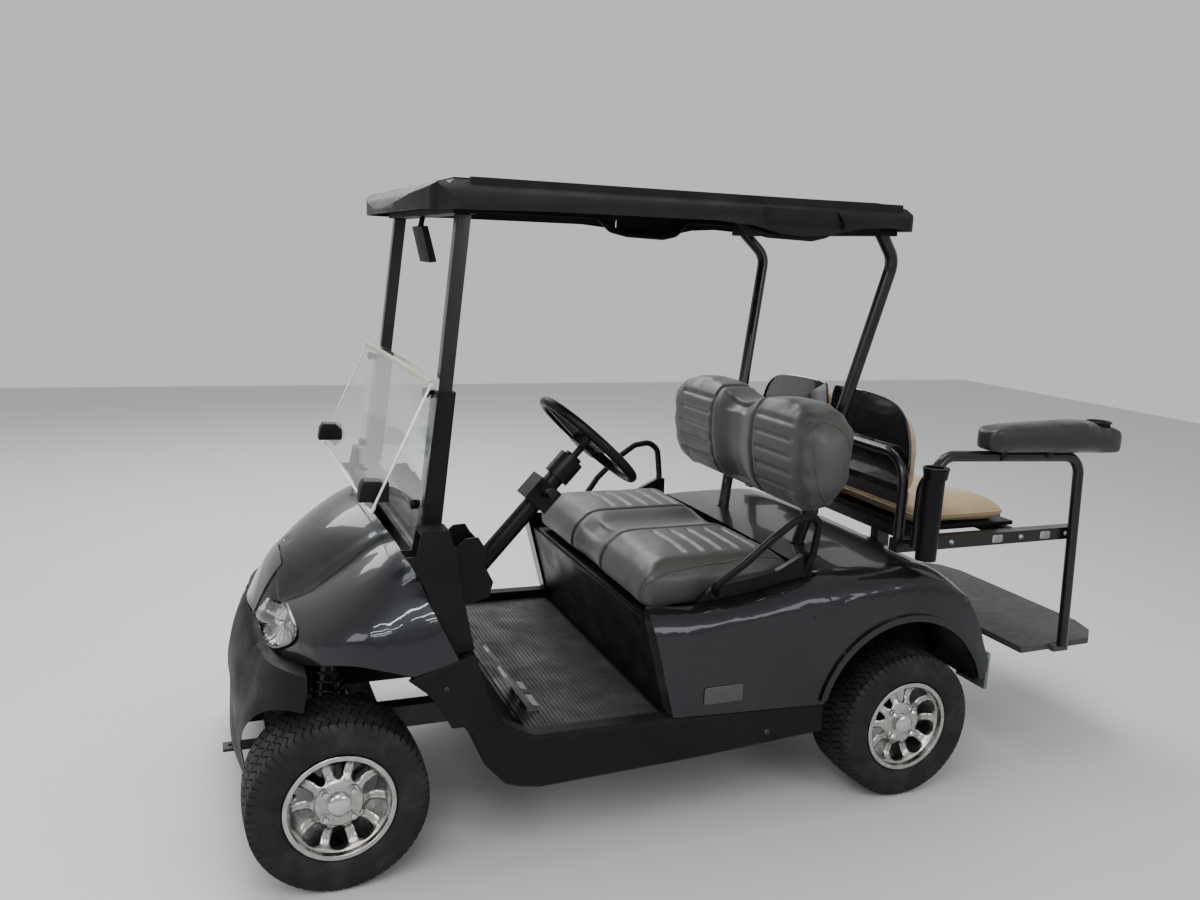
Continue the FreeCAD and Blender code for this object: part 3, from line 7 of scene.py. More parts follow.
import bmesh
import bpy
import numpy as np
from mathutils import Matrix, Vector
from mathutils.bvhtree import BVHTree

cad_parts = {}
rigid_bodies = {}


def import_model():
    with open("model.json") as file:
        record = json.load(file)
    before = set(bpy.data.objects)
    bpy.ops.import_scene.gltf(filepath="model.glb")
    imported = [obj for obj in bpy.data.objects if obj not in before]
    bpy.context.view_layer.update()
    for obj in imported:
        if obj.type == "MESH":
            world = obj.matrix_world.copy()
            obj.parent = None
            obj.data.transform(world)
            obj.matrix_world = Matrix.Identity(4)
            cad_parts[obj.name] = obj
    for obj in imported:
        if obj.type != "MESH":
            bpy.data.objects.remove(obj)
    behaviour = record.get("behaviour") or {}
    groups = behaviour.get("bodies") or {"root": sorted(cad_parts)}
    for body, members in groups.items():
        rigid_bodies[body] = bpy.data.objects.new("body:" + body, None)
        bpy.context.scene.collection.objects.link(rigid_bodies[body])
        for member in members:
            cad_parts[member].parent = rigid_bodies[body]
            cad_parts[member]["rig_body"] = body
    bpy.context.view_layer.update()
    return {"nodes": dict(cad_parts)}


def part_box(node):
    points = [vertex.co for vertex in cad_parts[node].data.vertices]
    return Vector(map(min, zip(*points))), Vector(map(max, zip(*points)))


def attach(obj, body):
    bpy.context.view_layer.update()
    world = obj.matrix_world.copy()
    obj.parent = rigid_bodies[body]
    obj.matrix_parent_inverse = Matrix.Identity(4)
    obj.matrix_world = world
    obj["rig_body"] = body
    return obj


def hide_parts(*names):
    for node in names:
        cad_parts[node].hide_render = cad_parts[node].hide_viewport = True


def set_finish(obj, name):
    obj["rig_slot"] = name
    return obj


bl_info = {
    "name": "Golf cart dressing",
    "version": (1, 0, 0),
    "blender": (4, 5, 0),
    "location": "View3D > Sidebar > Golf Cart",
    "description": "Finishes and detailed pieces for the packed golf cart",
    "category": "Object",
}

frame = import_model()
SIDES = (1, -1)
NAMED_SIDES = ((1, "left"), (-1, "right"))
WELD = 0.00003


class CartSizes(bpy.types.PropertyGroup):
    """Sizes that a user may change."""

    tread_depth: bpy.props.FloatProperty(
        name="Tread depth", description="Depth of the tyre grooves", default=0.006, unit="LENGTH")
    tread_pitches: bpy.props.IntProperty(
        name="Tread pitches", description="Cross grooves round a tyre", default=66, min=20)
    spokes: bpy.props.IntProperty(
        name="Spokes", description="Spokes of a wheel", default=10, min=5)
    pleat_depth: bpy.props.FloatProperty(
        name="Pleat depth", description="Depth of the sewn channels", default=0.0065, unit="LENGTH")
    piping: bpy.props.FloatProperty(
        name="Piping", description="Radius of the piping on the seats", default=0.0028, unit="LENGTH")
    seat_swell: bpy.props.FloatProperty(
        name="Seat swell", description="The most that a seat's cover may swell", default=0.014,
        unit="LENGTH")


class CartColours(bpy.types.PropertyGroup):
    """Colours that a user may change."""

    paint: bpy.props.FloatVectorProperty(
        name="Paint", description="Body paint", subtype="COLOR", default=(0.0115, 0.0124, 0.0142))
    plastic: bpy.props.FloatVectorProperty(
        name="Plastic", description="Textured plastic", subtype="COLOR", default=(0.0034, 0.0035, 0.0038))
    vinyl: bpy.props.FloatVectorProperty(
        name="Vinyl", description="Front seats", subtype="COLOR", default=(0.046, 0.0445, 0.041))
    beige: bpy.props.FloatVectorProperty(
        name="Rear vinyl", description="Rear seats", subtype="COLOR", default=(0.35, 0.262, 0.15))
    floor: bpy.props.FloatVectorProperty(
        name="Floor", description="Studio floor", subtype="COLOR", default=(0.56, 0.57, 0.58))


class Finish:
    """A procedural material, built in layers on its Principled shader."""

    def __init__(self, name, colour, rough, metal=0.0, **sockets):
        self.material = bpy.data.materials.new(name)
        self.material.use_nodes = True
        FINISHES[name] = self.material
        self.nodes = self.material.node_tree.nodes
        self.links = self.material.node_tree.links
        self.shader = self.nodes["Principled BSDF"]
        self.colour = tuple(colour)
        self.place = self.nodes.new("ShaderNodeTexCoord").outputs["Object"]
        self.shader.inputs["Base Color"].default_value = (*self.colour, 1.0)
        self.shader.inputs["Roughness"].default_value = rough
        self.shader.inputs["Metallic"].default_value = metal
        for socket, value in sockets.items():
            self.shader.inputs[SOCKETS[socket]].default_value = value

    def node(self, kind, sources=None, **values):
        """A new node with its own values, fed by the named sources."""
        made = self.nodes.new(kind)
        for name, value in values.items():
            setattr(made, name, value)
        for name, value in (sources or {}).items():
            if isinstance(value, bpy.types.NodeSocket):
                self.links.new(value, made.inputs[name])
            else:
                made.inputs[name].default_value = value
        return made

    def stretched(self, x, y, z):
        """The surface's own place, stretched along the axes."""
        return self.node("ShaderNodeMapping", {"Vector": self.place, "Scale": (x, y, z)}).outputs["Vector"]

    def noise(self, scale, detail=3.0, place=None):
        """Cloudy noise over the surface."""
        sources = {"Vector": place or self.place, "Scale": scale, "Detail": detail}
        return self.node("ShaderNodeTexNoise", sources).outputs["Fac"]

    def cells(self, scale, feature="DISTANCE_TO_EDGE"):
        """Small cells over the surface, as in a grain."""
        sources = {"Vector": self.place, "Scale": scale}
        return self.node("ShaderNodeTexVoronoi", sources, feature=feature).outputs["Distance"]

    def spread(self, value, low, high, start=0.0, end=1.0):
        """value's range from start to end, moved to low to high."""
        sources = {"Value": value, "From Min": start, "From Max": end, "To Min": low, "To Max": high}
        return self.node("ShaderNodeMapRange", sources).outputs["Result"]

    def tint(self, value, light, start=0.4, end=0.7):
        """Turns the colour towards light where value is high. Several tints lie on each other."""
        mix = self.node("ShaderNodeMix", {"Factor": self.spread(value, 0.0, 1.0, start, end)},
                        data_type="RGBA")
        socket = self.shader.inputs["Base Color"]
        if socket.is_linked:
            self.links.new(socket.links[0].from_socket, mix.inputs["A"])
        else:
            mix.inputs["A"].default_value = (*self.colour, 1.0)
        mix.inputs["B"].default_value = (*light, 1.0)
        self.links.new(mix.outputs["Result"], socket)

    def wear(self, value, low, high, start=0.3, end=0.7):
        """Roughness from low to high, by value."""
        self.links.new(self.spread(value, low, high, start, end), self.shader.inputs["Roughness"])

    def emboss(self, value, strength, depth):
        """Bump from value, on top of any bump that is there."""
        bump = self.node("ShaderNodeBump", {"Height": value, "Strength": strength, "Distance": depth})
        socket = self.shader.inputs["Normal"]
        if socket.is_linked:
            self.links.new(socket.links[0].from_socket, bump.inputs["Normal"])
        self.links.new(bump.outputs["Normal"], socket)


SOCKETS = {
    "coat": "Coat Weight", "coat_rough": "Coat Roughness", "sheen": "Sheen Weight",
    "sheen_rough": "Sheen Roughness", "through": "Transmission Weight", "ior": "IOR",
    "specular": "Specular IOR Level", "brushed": "Anisotropic", "alpha": "Alpha",
}
FINISHES = {}


def shade(colour, share):
    """The colour, lighter or darker."""
    return tuple(min(1.0, c * share) for c in colour)


def moulded_plastic(name, colour, rough=0.5, pebble=0.35):
    """Black plastic with a pebbled skin, dusty in places and scuffed in long strokes."""
    skin = Finish(name, colour, rough, specular=0.17)
    skin.tint(skin.noise(7.0, 5.0), shade(colour, 1.7), 0.45, 0.75)
    skin.tint(skin.noise(38.0, 7.0, skin.stretched(0.35, 1.0, 1.6)), shade(colour, 3.0), 0.66, 0.8)
    skin.wear(skin.noise(11.0, 6.0), rough - 0.08, rough + 0.14)
    skin.emboss(skin.cells(620.0, "F1"), pebble, 0.0005)


def leather(name, colour, rough=0.42):
    """Vinyl with a fine grain, soft creases and a slight sheen."""
    skin = Finish(name, colour, rough, sheen=0.15, sheen_rough=0.4, specular=0.42)
    skin.tint(skin.noise(5.0, 4.0), shade(colour, 1.16), 0.4, 0.7)
    skin.tint(skin.noise(60.0, 5.0), shade(colour, 0.86), 0.55, 0.75)
    skin.wear(skin.noise(22.0, 5.0), rough - 0.05, rough + 0.1)
    skin.emboss(skin.noise(34.0, 3.0), 0.12, 0.0016)
    skin.emboss(skin.cells(520.0), 0.22, 0.0004)


def coated_steel(name, colour, rough):
    """Powder-coated steel: slight orange peel and a few rubbed places."""
    coat = Finish(name, colour, rough, coat=0.25, coat_rough=0.18, specular=0.3)
    coat.tint(coat.noise(24.0, 6.0), shade(colour, 2.6), 0.63, 0.78)
    coat.wear(coat.noise(15.0, 4.0), rough - 0.06, rough + 0.12)
    coat.emboss(coat.noise(260.0, 2.0), 0.08, 0.0006)


def make_finishes(colours):
    """Every material of the cart, under the record's slot name where it has one."""
    paint = Finish("paint", colours.paint, 0.3, 0.8, coat=0.55, coat_rough=0.035, specular=0.3)
    paint.tint(paint.cells(2600.0, "F1"), shade(colours.paint, 1.7), 0.25, 0.6)
    paint.tint(paint.noise(3.0, 3.0), shade(colours.paint, 0.86), 0.5, 0.8)
    paint.wear(paint.noise(1400.0, 2.0), 0.28, 0.42)
    paint.emboss(paint.noise(9.0, 2.0), 0.03, 0.004)

    gloss = Finish("gloss_black", (0.009, 0.009, 0.010), 0.16, coat=1.0, coat_rough=0.05)
    gloss.tint(gloss.noise(45.0, 7.0), (0.03, 0.03, 0.03), 0.6, 0.8)
    gloss.wear(gloss.noise(12.0, 5.0), 0.12, 0.3)
    gloss.emboss(gloss.noise(90.0, 2.0), 0.03, 0.001)

    rubber = Finish("tyre_rubber", (0.0085, 0.0085, 0.0088), 0.7, specular=0.28)
    rubber.tint(rubber.noise(16.0, 6.0), (0.024, 0.0235, 0.0225), 0.48, 0.78)
    rubber.wear(rubber.noise(24.0, 5.0), 0.58, 0.86)
    rubber.emboss(rubber.noise(420.0, 4.0), 0.3, 0.0005)

    mat = Finish("mat_rubber", (0.0125, 0.0125, 0.0128), 0.62)
    mat.tint(mat.noise(6.0, 8.0), (0.05, 0.049, 0.047), 0.5, 0.8)
    mat.tint(mat.noise(70.0, 4.0, mat.stretched(0.2, 1.0, 1.0)), (0.07, 0.069, 0.067), 0.64, 0.78)
    mat.wear(mat.noise(14.0, 6.0), 0.5, 0.8)
    mat.emboss(mat.noise(500.0, 3.0), 0.25, 0.0005)

    acrylic = Finish("clear_acrylic", (0.97, 0.985, 0.985), 0.02, through=1.0, ior=1.015, coat=0.9,
                     coat_rough=0.02)
    acrylic.tint(acrylic.noise(3.0, 4.0), (0.93, 0.95, 0.95), 0.45, 0.8)
    acrylic.wear(acrylic.noise(30.0, 8.0), 0.0, 0.09, 0.45, 0.8)
    acrylic.emboss(acrylic.noise(4.0, 2.0), 0.02, 0.002)

    edge = Finish("acrylic_edge", (0.86, 0.88, 0.87), 0.3, specular=0.6)
    edge.tint(edge.noise(60.0, 4.0), (0.62, 0.64, 0.63), 0.4, 0.7)
    edge.wear(edge.noise(90.0, 4.0), 0.2, 0.5)
    edge.emboss(edge.noise(300.0, 3.0), 0.3, 0.0004)

    alloy = Finish("alloy", (0.47, 0.46, 0.44), 0.26, 1.0, brushed=0.55)
    alloy.tint(alloy.noise(40.0, 6.0), (0.33, 0.31, 0.29), 0.42, 0.75)
    alloy.wear(alloy.noise(30.0, 6.0), 0.2, 0.36)
    alloy.emboss(alloy.noise(700.0, 2.0, alloy.stretched(1.0, 6.0, 1.0)), 0.08, 0.0004)

    window = Finish("alloy_window", (0.055, 0.046, 0.041), 0.38, 0.8)
    window.tint(window.noise(26.0, 6.0), (0.026, 0.022, 0.019), 0.4, 0.7)
    window.wear(window.noise(60.0, 5.0), 0.3, 0.55)
    window.emboss(window.noise(240.0, 3.0), 0.2, 0.0005)

    chrome = Finish("chrome", (0.55, 0.55, 0.54), 0.08, 1.0)
    chrome.tint(chrome.noise(50.0, 6.0), (0.4, 0.39, 0.38), 0.55, 0.8)
    chrome.wear(chrome.noise(40.0, 6.0), 0.04, 0.2)
    chrome.emboss(chrome.noise(120.0, 2.0), 0.03, 0.0006)

    steel = Finish("bare_steel", (0.4, 0.39, 0.38), 0.42, 1.0)
    steel.tint(steel.noise(30.0, 7.0), (0.22, 0.19, 0.17), 0.5, 0.75)
    steel.wear(steel.noise(60.0, 6.0), 0.34, 0.62)
    steel.emboss(steel.noise(300.0, 3.0), 0.2, 0.0005)

    grip = Finish("grip_plate", (0.036, 0.036, 0.038), 0.66)
    grip.tint(grip.noise(600.0, 2.0), (0.13, 0.13, 0.13), 0.6, 0.75)
    grip.tint(grip.noise(5.0, 6.0), (0.06, 0.06, 0.06), 0.45, 0.75)
    grip.wear(grip.noise(30.0, 4.0), 0.6, 0.85)
    grip.emboss(grip.noise(900.0, 3.0), 0.6, 0.0008)

    lens = Finish("lamp_lens", (0.985, 0.99, 0.99), 0.01, through=1.0, ior=1.02, coat=1.0, coat_rough=0.01)
    lens.tint(lens.noise(12.0, 3.0), (0.95, 0.96, 0.96), 0.5, 0.8)
    lens.wear(lens.noise(80.0, 5.0), 0.0, 0.05, 0.5, 0.8)
    lens.emboss(lens.noise(10.0, 2.0), 0.02, 0.002)

    reflector = Finish("reflector", (0.93, 0.93, 0.92), 0.1, 1.0)
    reflector.tint(reflector.noise(22.0, 3.0), (0.75, 0.76, 0.78), 0.5, 0.75)
    reflector.wear(reflector.noise(50.0, 3.0), 0.04, 0.16)
    reflector.emboss(reflector.noise(55.0, 1.0, reflector.stretched(0.5, 2.6, 0.3)), 0.5, 0.004)

    red = Finish("lamp_red", (0.42, 0.012, 0.012), 0.14, coat=1.0, coat_rough=0.05)
    red.tint(red.noise(30.0, 3.0), (0.3, 0.006, 0.006), 0.45, 0.7)
    red.wear(red.noise(60.0, 4.0), 0.1, 0.24)
    red.emboss(red.cells(160.0, "F1"), 0.4, 0.002)

    mirror = Finish("mirror_glass", (0.6, 0.62, 0.64), 0.03, 1.0)
    mirror.tint(mirror.noise(30.0, 5.0), (0.5, 0.52, 0.54), 0.5, 0.8)
    mirror.wear(mirror.noise(50.0, 6.0), 0.01, 0.08)
    mirror.emboss(mirror.noise(8.0, 2.0), 0.02, 0.002)

    flap = Finish("mudflap_rubber", (0.1, 0.105, 0.11), 0.42, specular=0.5)
    flap.tint(flap.noise(14.0, 5.0), (0.17, 0.175, 0.18), 0.45, 0.7)
    flap.wear(flap.noise(30.0, 4.0), 0.35, 0.55)
    flap.emboss(flap.noise(200.0, 2.0), 0.1, 0.0006)

    hinge = Finish("hinge_strip", (0.5, 0.46, 0.38), 0.5)
    hinge.tint(hinge.noise(30.0, 4.0), (0.4, 0.36, 0.29), 0.45, 0.7)
    hinge.wear(hinge.noise(60.0, 4.0), 0.4, 0.6)
    hinge.emboss(hinge.noise(200.0, 2.0), 0.1, 0.0006)

    moulded_plastic("black_plastic", colours.plastic)
    moulded_plastic("satin_plastic", shade(colours.plastic, 0.8), 0.36, 0.15)
    moulded_plastic("battery_case", shade(colours.plastic, 1.5), 0.55, 0.2)
    coated_steel("black_steel", (0.0055, 0.0055, 0.006), 0.27)
    leather("seat_vinyl", colours.vinyl)
    leather("rear_vinyl", colours.beige, 0.48)
    leather("seat_vinyl_black", (0.012, 0.012, 0.0125), 0.36)


def make_piece(name, verts, faces, finish, body="root", slot=None, smooth=True):
    """A mesh piece in the row frame, with its finish, on its body."""
    mesh = bpy.data.meshes.new(name)
    mesh.from_pydata([tuple(v) for v in verts], [], [tuple(f) for f in faces])
    mesh.validate()
    return settle(name, mesh, finish, body, slot, smooth)


def settle(name, mesh, finish, body="root", slot=None, smooth=True, place=None):
    """Puts a mesh in the scene as a named piece that rides on body."""
    piece = bpy.data.objects.new(name, mesh)
    bpy.context.scene.collection.objects.link(piece)
    if place is not None:
        piece.matrix_world = place
    mesh.materials.clear()
    for each in [finish] if isinstance(finish, str) else finish:
        mesh.materials.append(FINISHES[each])
    if smooth:
        mesh.shade_smooth()
    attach(piece, body)
    if slot:
        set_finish(piece, slot)
    return piece


def apply_modifiers(piece):
    """Turns a piece's modifiers into its mesh."""
    graph = bpy.context.evaluated_depsgraph_get()
    mesh = bpy.data.meshes.new_from_object(piece.evaluated_get(graph))
    piece.modifiers.clear()
    piece.data = mesh
    return piece


def add_modifier(piece, kind, **values):
    """Adds a modifier with its values."""
    modifier = piece.modifiers.new(kind.lower(), kind)
    for name, value in values.items():
        setattr(modifier, name, value)
    return modifier


@contextmanager
def opened(mesh):
    """A mesh open for edits, which are written back at the end."""
    work = bmesh.new()
    work.from_mesh(mesh)
    yield work
    work.to_mesh(mesh)
    work.free()


def copied_mesh(node, name, flat_angle=0.6):
    """A welded copy of a CAD node's mesh, its flat faces made whole."""
    mesh = frame["nodes"][node].data.copy()
    mesh.name = name
    with opened(mesh) as work:
        bmesh.ops.remove_doubles(work, verts=work.verts, dist=WELD)
        if flat_angle:
            bmesh.ops.dissolve_limit(work, angle_limit=math.radians(flat_angle), verts=work.verts,
                                     edges=work.edges)
    if "custom_normal" in mesh.attributes:
        mesh.attributes.remove(mesh.attributes["custom_normal"])
    return mesh


def surface(node, start, direction):
    """Where a ray first meets a CAD node, in the row frame."""
    part = frame["nodes"][node]
    place = part.matrix_world
    points = [place @ v.co for v in part.data.vertices]
    tree = BVHTree.FromPolygons(points, [tuple(f.vertices) for f in part.data.polygons])
    return tree.ray_cast(Vector(start), Vector(direction))[0]


BEVEL_ANGLE = math.radians(34.0)
SHARP_ANGLE = math.radians(40.0)


def eased(node, finish, width):
    """Stands for a CAD node, with its own form and softly rounded edges."""
    part = frame["nodes"][node]
    slot = part.data.materials[0].name
    piece = settle(node + "_moulded", copied_mesh(node, node + "_moulded"), finish,
                   part["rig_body"], slot)
    add_modifier(piece, "BEVEL", width=width, segments=2, limit_method="ANGLE",
                 angle_limit=BEVEL_ANGLE, miter_outer="MITER_ARC")
    apply_modifiers(piece)
    piece.data.set_sharp_from_angle(angle=SHARP_ANGLE)
    add_modifier(piece, "WEIGHTED_NORMAL", keep_sharp=True)
    apply_modifiers(piece)
    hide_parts(node)


def finished(finish, *nodes):
    """Gives CAD nodes, whose shape stays, their finish."""
    for node in nodes:
        materials = frame["nodes"][node].data.materials
        for index in range(len(materials)):
            materials[index] = FINISHES[finish]


def strip_faces(rows, columns, wrap_rows=False, wrap_columns=False):
    """Quads over a grid of rows and columns of points."""
    faces = []
    for r in range(rows if wrap_rows else rows - 1):
        for c in range(columns if wrap_columns else columns - 1):
            a, b = r * columns + c, r * columns + (c + 1) % columns
            d = ((r + 1) % rows) * columns + c
            e = ((r + 1) % rows) * columns + (c + 1) % columns
            faces.append((a, b, e, d))
    return faces


def revolved(profile, steps=96):
    """Points and faces of a closed profile of (y, radius), turned round the Y axis."""
    points = []
    for k in range(steps):
        turn = 2 * math.pi * k / steps
        points += [(r * math.cos(turn), y, r * math.sin(turn)) for y, r in profile]
    return points, strip_faces(steps, len(profile), True, True)


def smooth_path(points, steps=8, closed=False):
    """A smooth line through the given points."""
    points = [Vector(p) for p in points]
    count = len(points)
    line = []
    for i in range(count if closed else count - 1):
        if closed:
            a, b, c, d = (points[(i + k - 1) % count] for k in range(4))
        else:
            a, b, c, d = (points[min(max(i + k - 1, 0), count - 1)] for k in range(4))
        for k in range(steps):
            t = k / steps
            line.append(0.5 * (2 * b + (c - a) * t + (2 * a - 5 * b + 4 * c - d) * t * t
                               + (3 * b - a - 3 * c + d) * t ** 3))
    if not closed:
        line.append(points[-1])
    return line


def tube(line, radius, sides=10, closed=False, flat=1.0, up=(0, 0, 1)):
    """Points and faces of a tube along a line; flat squeezes it across up."""
    count = len(line)
    points = []
    side = Vector(up)
    for i, place in enumerate(line):
        ahead = line[(i + 1) % count] if closed or i + 1 < count else place
        behind = line[i - 1] if closed or i else place
        along = (ahead - behind).normalized()
        side = (side - along * side.dot(along)).normalized()
        across = along.cross(side)
        for k in range(sides):
            turn = 2 * math.pi * k / sides
            points.append(place + (side * math.cos(turn) * flat + across * math.sin(turn)) * radius)
    faces = strip_faces(count, sides, closed, True)
    if not closed:
        faces.append(tuple(range(sides))[::-1])
        faces.append(tuple(range((count - 1) * sides, count * sides)))
    return points, faces


def joined(parts):
    """Several lots of points and faces as one."""
    points, faces = [], []
    for some_points, some_faces in parts:
        start = len(points)
        points += list(some_points)
        faces += [tuple(i + start for i in face) for face in some_faces]
    return points, faces


def turned(part, matrix):
    """Points and faces, with the points moved by a matrix."""
    return [matrix @ Vector(p) for p in part[0]], part[1]


def lathe(profile, steps=32):
    """A knob-like solid: (height, radius) points turned round Z, closed at both ends."""
    points = []
    for z, r in profile:
        points += [(r * math.cos(2 * math.pi * k / steps), r * math.sin(2 * math.pi * k / steps), z)
                   for k in range(steps)]
    faces = strip_faces(len(profile), steps, False, True)
    faces.append(tuple(range(steps))[::-1])
    faces.append(tuple(range((len(profile) - 1) * steps, len(profile) * steps)))
    return points, faces


def facing(place, normal):
    """A matrix that puts Z along normal at a place."""
    return Matrix.Translation(place) @ Vector(normal).to_track_quat("Z", "Y").to_matrix().to_4x4()


TREAD_CROWN = 0.006
TREAD_WAVE = 0.0062
TREAD_WAVE_LENGTH = 0.052


def tyre_mesh(outward, sizes):
    """A low tyre about the Y axis: wavy cross grooves, two grooves round it and a ribbed sidewall."""
    low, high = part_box("tyre_front_left")
    radius, half = (high.z - low.z) / 2, (high.y - low.y) / 2
    # The sidewall from the bead out, as shares of the half width and the radius
    side = [(0.84, 0.612), (0.915, 0.632), (0.955, 0.66), (0.975, 0.71), (0.99, 0.725), (0.985, 0.74),
            (1.0, 0.80), (0.995, 0.87), (0.97, 0.918), (0.925, 0.955)]
    # Each column: place across, radius, how deep cross grooves and round grooves cut it
    columns = [(half * y, radius * r, 0.0 if r < 0.9 else 0.55, 0.0) for y, r in side]
    groove_y, groove_half = half * 0.3, 0.0016
    tread = np.linspace(0.87, -0.87, 25) * half
    tread = [y for y in tread if abs(abs(y) - groove_y) > groove_half * 2.4]
    for y in tread:
        columns.append((y, radius - TREAD_CROWN * (y / half) ** 2, 1.0, 0.0))
    for centre in (groove_y, -groove_y):
        for k, sunk in ((1.7, 0.0), (1.0, 1.0), (-1.0, 1.0), (-1.7, 0.0)):
            y = centre + k * groove_half
            columns.append((y, radius - TREAD_CROWN * (y / half) ** 2, 1.0, sunk))
    columns[len(side):] = sorted(columns[len(side):], key=lambda c: -c[0])
    columns += [(-y, r, g, s) for y, r, g, s in columns[:len(side)][::-1]]
    columns += [(-half * 0.6, radius * 0.59, 0.0, 0.0), (half * 0.6, radius * 0.59, 0.0, 0.0)]
    pitch = 2 * math.pi / sizes.tread_pitches
    rows = ((0.0, 1), (0.13, 1), (0.18, 0), (0.57, 0), (0.95, 0))
    points = []
    for turn in range(sizes.tread_pitches):
        for share, sunk in rows:
            for y, r, grooved, round_groove in columns:
                wave = TREAD_WAVE * math.sin(2 * math.pi * y / TREAD_WAVE_LENGTH) + 0.1 * abs(y)
                angle = (turn + share) * pitch + wave / radius * (1.0 if r > radius * 0.9 else 0.0)
                depth = sizes.tread_depth * max(grooved * sunk, round_groove)
                points.append(((r - depth) * math.cos(angle), y * outward, (r - depth) * math.sin(angle)))
    faces = strip_faces(sizes.tread_pitches * len(rows), len(columns), True, True)
    if outward < 0:
        faces = [f[::-1] for f in faces]
    mesh = bpy.data.meshes.new("tyre")
    mesh.from_pydata(points, [], faces)
    mesh.validate()
    mesh.shade_smooth()
    mesh.set_sharp_from_angle(angle=math.radians(38.0))
    return mesh


WINDOW_ROUNDING = 0.011


def spoke_width(r, inner, outer, full, thin):
    """A spoke's half angle at a radius: the windows between spokes end in round ends."""
    near = min(r - inner, outer - r)
    if near <= 0:
        return full
    if near >= WINDOW_ROUNDING:
        return thin
    return full - (full - thin) * math.sqrt(1 - (1 - near / WINDOW_ROUNDING) ** 2)


def wheel_face(sizes):
    """The dished front of an alloy wheel: hub, spokes and windows, in front of the Y = 0 plane."""
    dish = [(0.020, 0.068), (0.036, 0.068), (0.058, 0.067), (0.066, 0.060), (0.080, 0.050), (0.1, 0.050),
            (0.115, 0.060), (0.126, 0.078)]
    inner, outer, spoke_half = 0.0630, 0.1235, 0.0118
    radii = [0.020, 0.028, 0.036, 0.045, 0.052, 0.058, 0.0628]
    radii += [inner + d for d in (0.0, 0.0004, 0.0014, 0.003, 0.0055, 0.009, 0.013, 0.018, 0.024, 0.030)]
    radii += [outer - d for d in (0.022, 0.016, 0.011, 0.0075, 0.0045, 0.0024, 0.001, 0.0003, 0.0)]
    radii += [0.1248, 0.1265]
    across = np.linspace(-1, 1, 13)
    full = math.pi / sizes.spokes
    points = []
    for k in range(sizes.spokes):
        for r in radii:
            half = spoke_width(r, inner, outer, full, spoke_half / max(r, inner))
            depth = np.interp(r, [d[0] for d in dish], [d[1] for d in dish])
            open_share = min(1.0, (full - half) / (full * 0.5))
            for u in across:
                ridge = open_share * (0.0045 * (1 - u * u) - 0.0022 * math.exp(-(u / 0.28) ** 2))
                angle = 2 * full * k + u * half
                points.append((r * math.cos(angle), depth + ridge, r * math.sin(angle)))
    faces = []
    for k in range(sizes.spokes):
        start = k * len(radii) * len(across)
        faces += [tuple(i + start for i in f) for f in strip_faces(len(radii), len(across))]
    return points, faces


def wheel_mesh(outward, sizes):
    """A whole alloy wheel: machined face and lip, darker barrel and windows."""
    mesh = bpy.data.meshes.new("wheel_face")
    points, faces = wheel_face(sizes)
    mesh.from_pydata(points, [], faces)
    face = settle("wheel_face", mesh, ("alloy", "alloy_window"))
    with opened(mesh) as work:
        bmesh.ops.remove_doubles(work, verts=work.verts, dist=0.00005)
        bmesh.ops.recalc_face_normals(work, faces=work.faces)
        if sum(f.normal.y * f.calc_area() for f in work.faces) < 0:
            bmesh.ops.reverse_faces(work, faces=work.faces)
    add_modifier(face, "SOLIDIFY", thickness=0.013, offset=-1.0, material_offset=1, material_offset_rim=1)
    add_modifier(face, "BEVEL", width=0.0014, segments=2, limit_method="ANGLE",
                 angle_limit=math.radians(50.0))
    apply_modifiers(face)
    work = bmesh.new()
    work.from_mesh(face.data)
    bpy.data.objects.remove(face)
    lip = [(0.0935, 0.1275), (0.0945, 0.1285), (0.0945, 0.1385), (0.0935, 0.1398), (0.086, 0.1398),
           (0.080, 0.134), (0.076, 0.1300), (0.076, 0.1262)]
    barrel = [(0.0765, 0.1262), (0.060, 0.1235), (0.0, 0.1180), (-0.070, 0.1200), (-0.090, 0.130),
              (-0.0935, 0.1385), (-0.086, 0.1395), (-0.080, 0.134), (-0.060, 0.125), (0.0, 0.121),
              (0.0765, 0.1288)]
    for profile, index in ((lip, 0), (barrel, 1)):
        points, faces = revolved(profile, 120)
        verts = [work.verts.new(p) for p in points]
        for f in faces:
            made = work.faces.new([verts[i] for i in f])
            made.material_index = index
            made.smooth = True
    bmesh.ops.recalc_face_normals(work, faces=work.faces)
    bmesh.ops.scale(work, vec=(1, outward, 1), verts=work.verts)
    if outward < 0:
        bmesh.ops.reverse_faces(work, faces=work.faces)
    made = bpy.data.meshes.new("wheel")
    work.to_mesh(made)
    work.free()
    made.shade_smooth()
    made.set_sharp_from_angle(angle=math.radians(35.0))
    return made


NUT_CIRCLE = 0.0485
VALVE_CIRCLE = 0.112
VALVE_TURN = 0.31


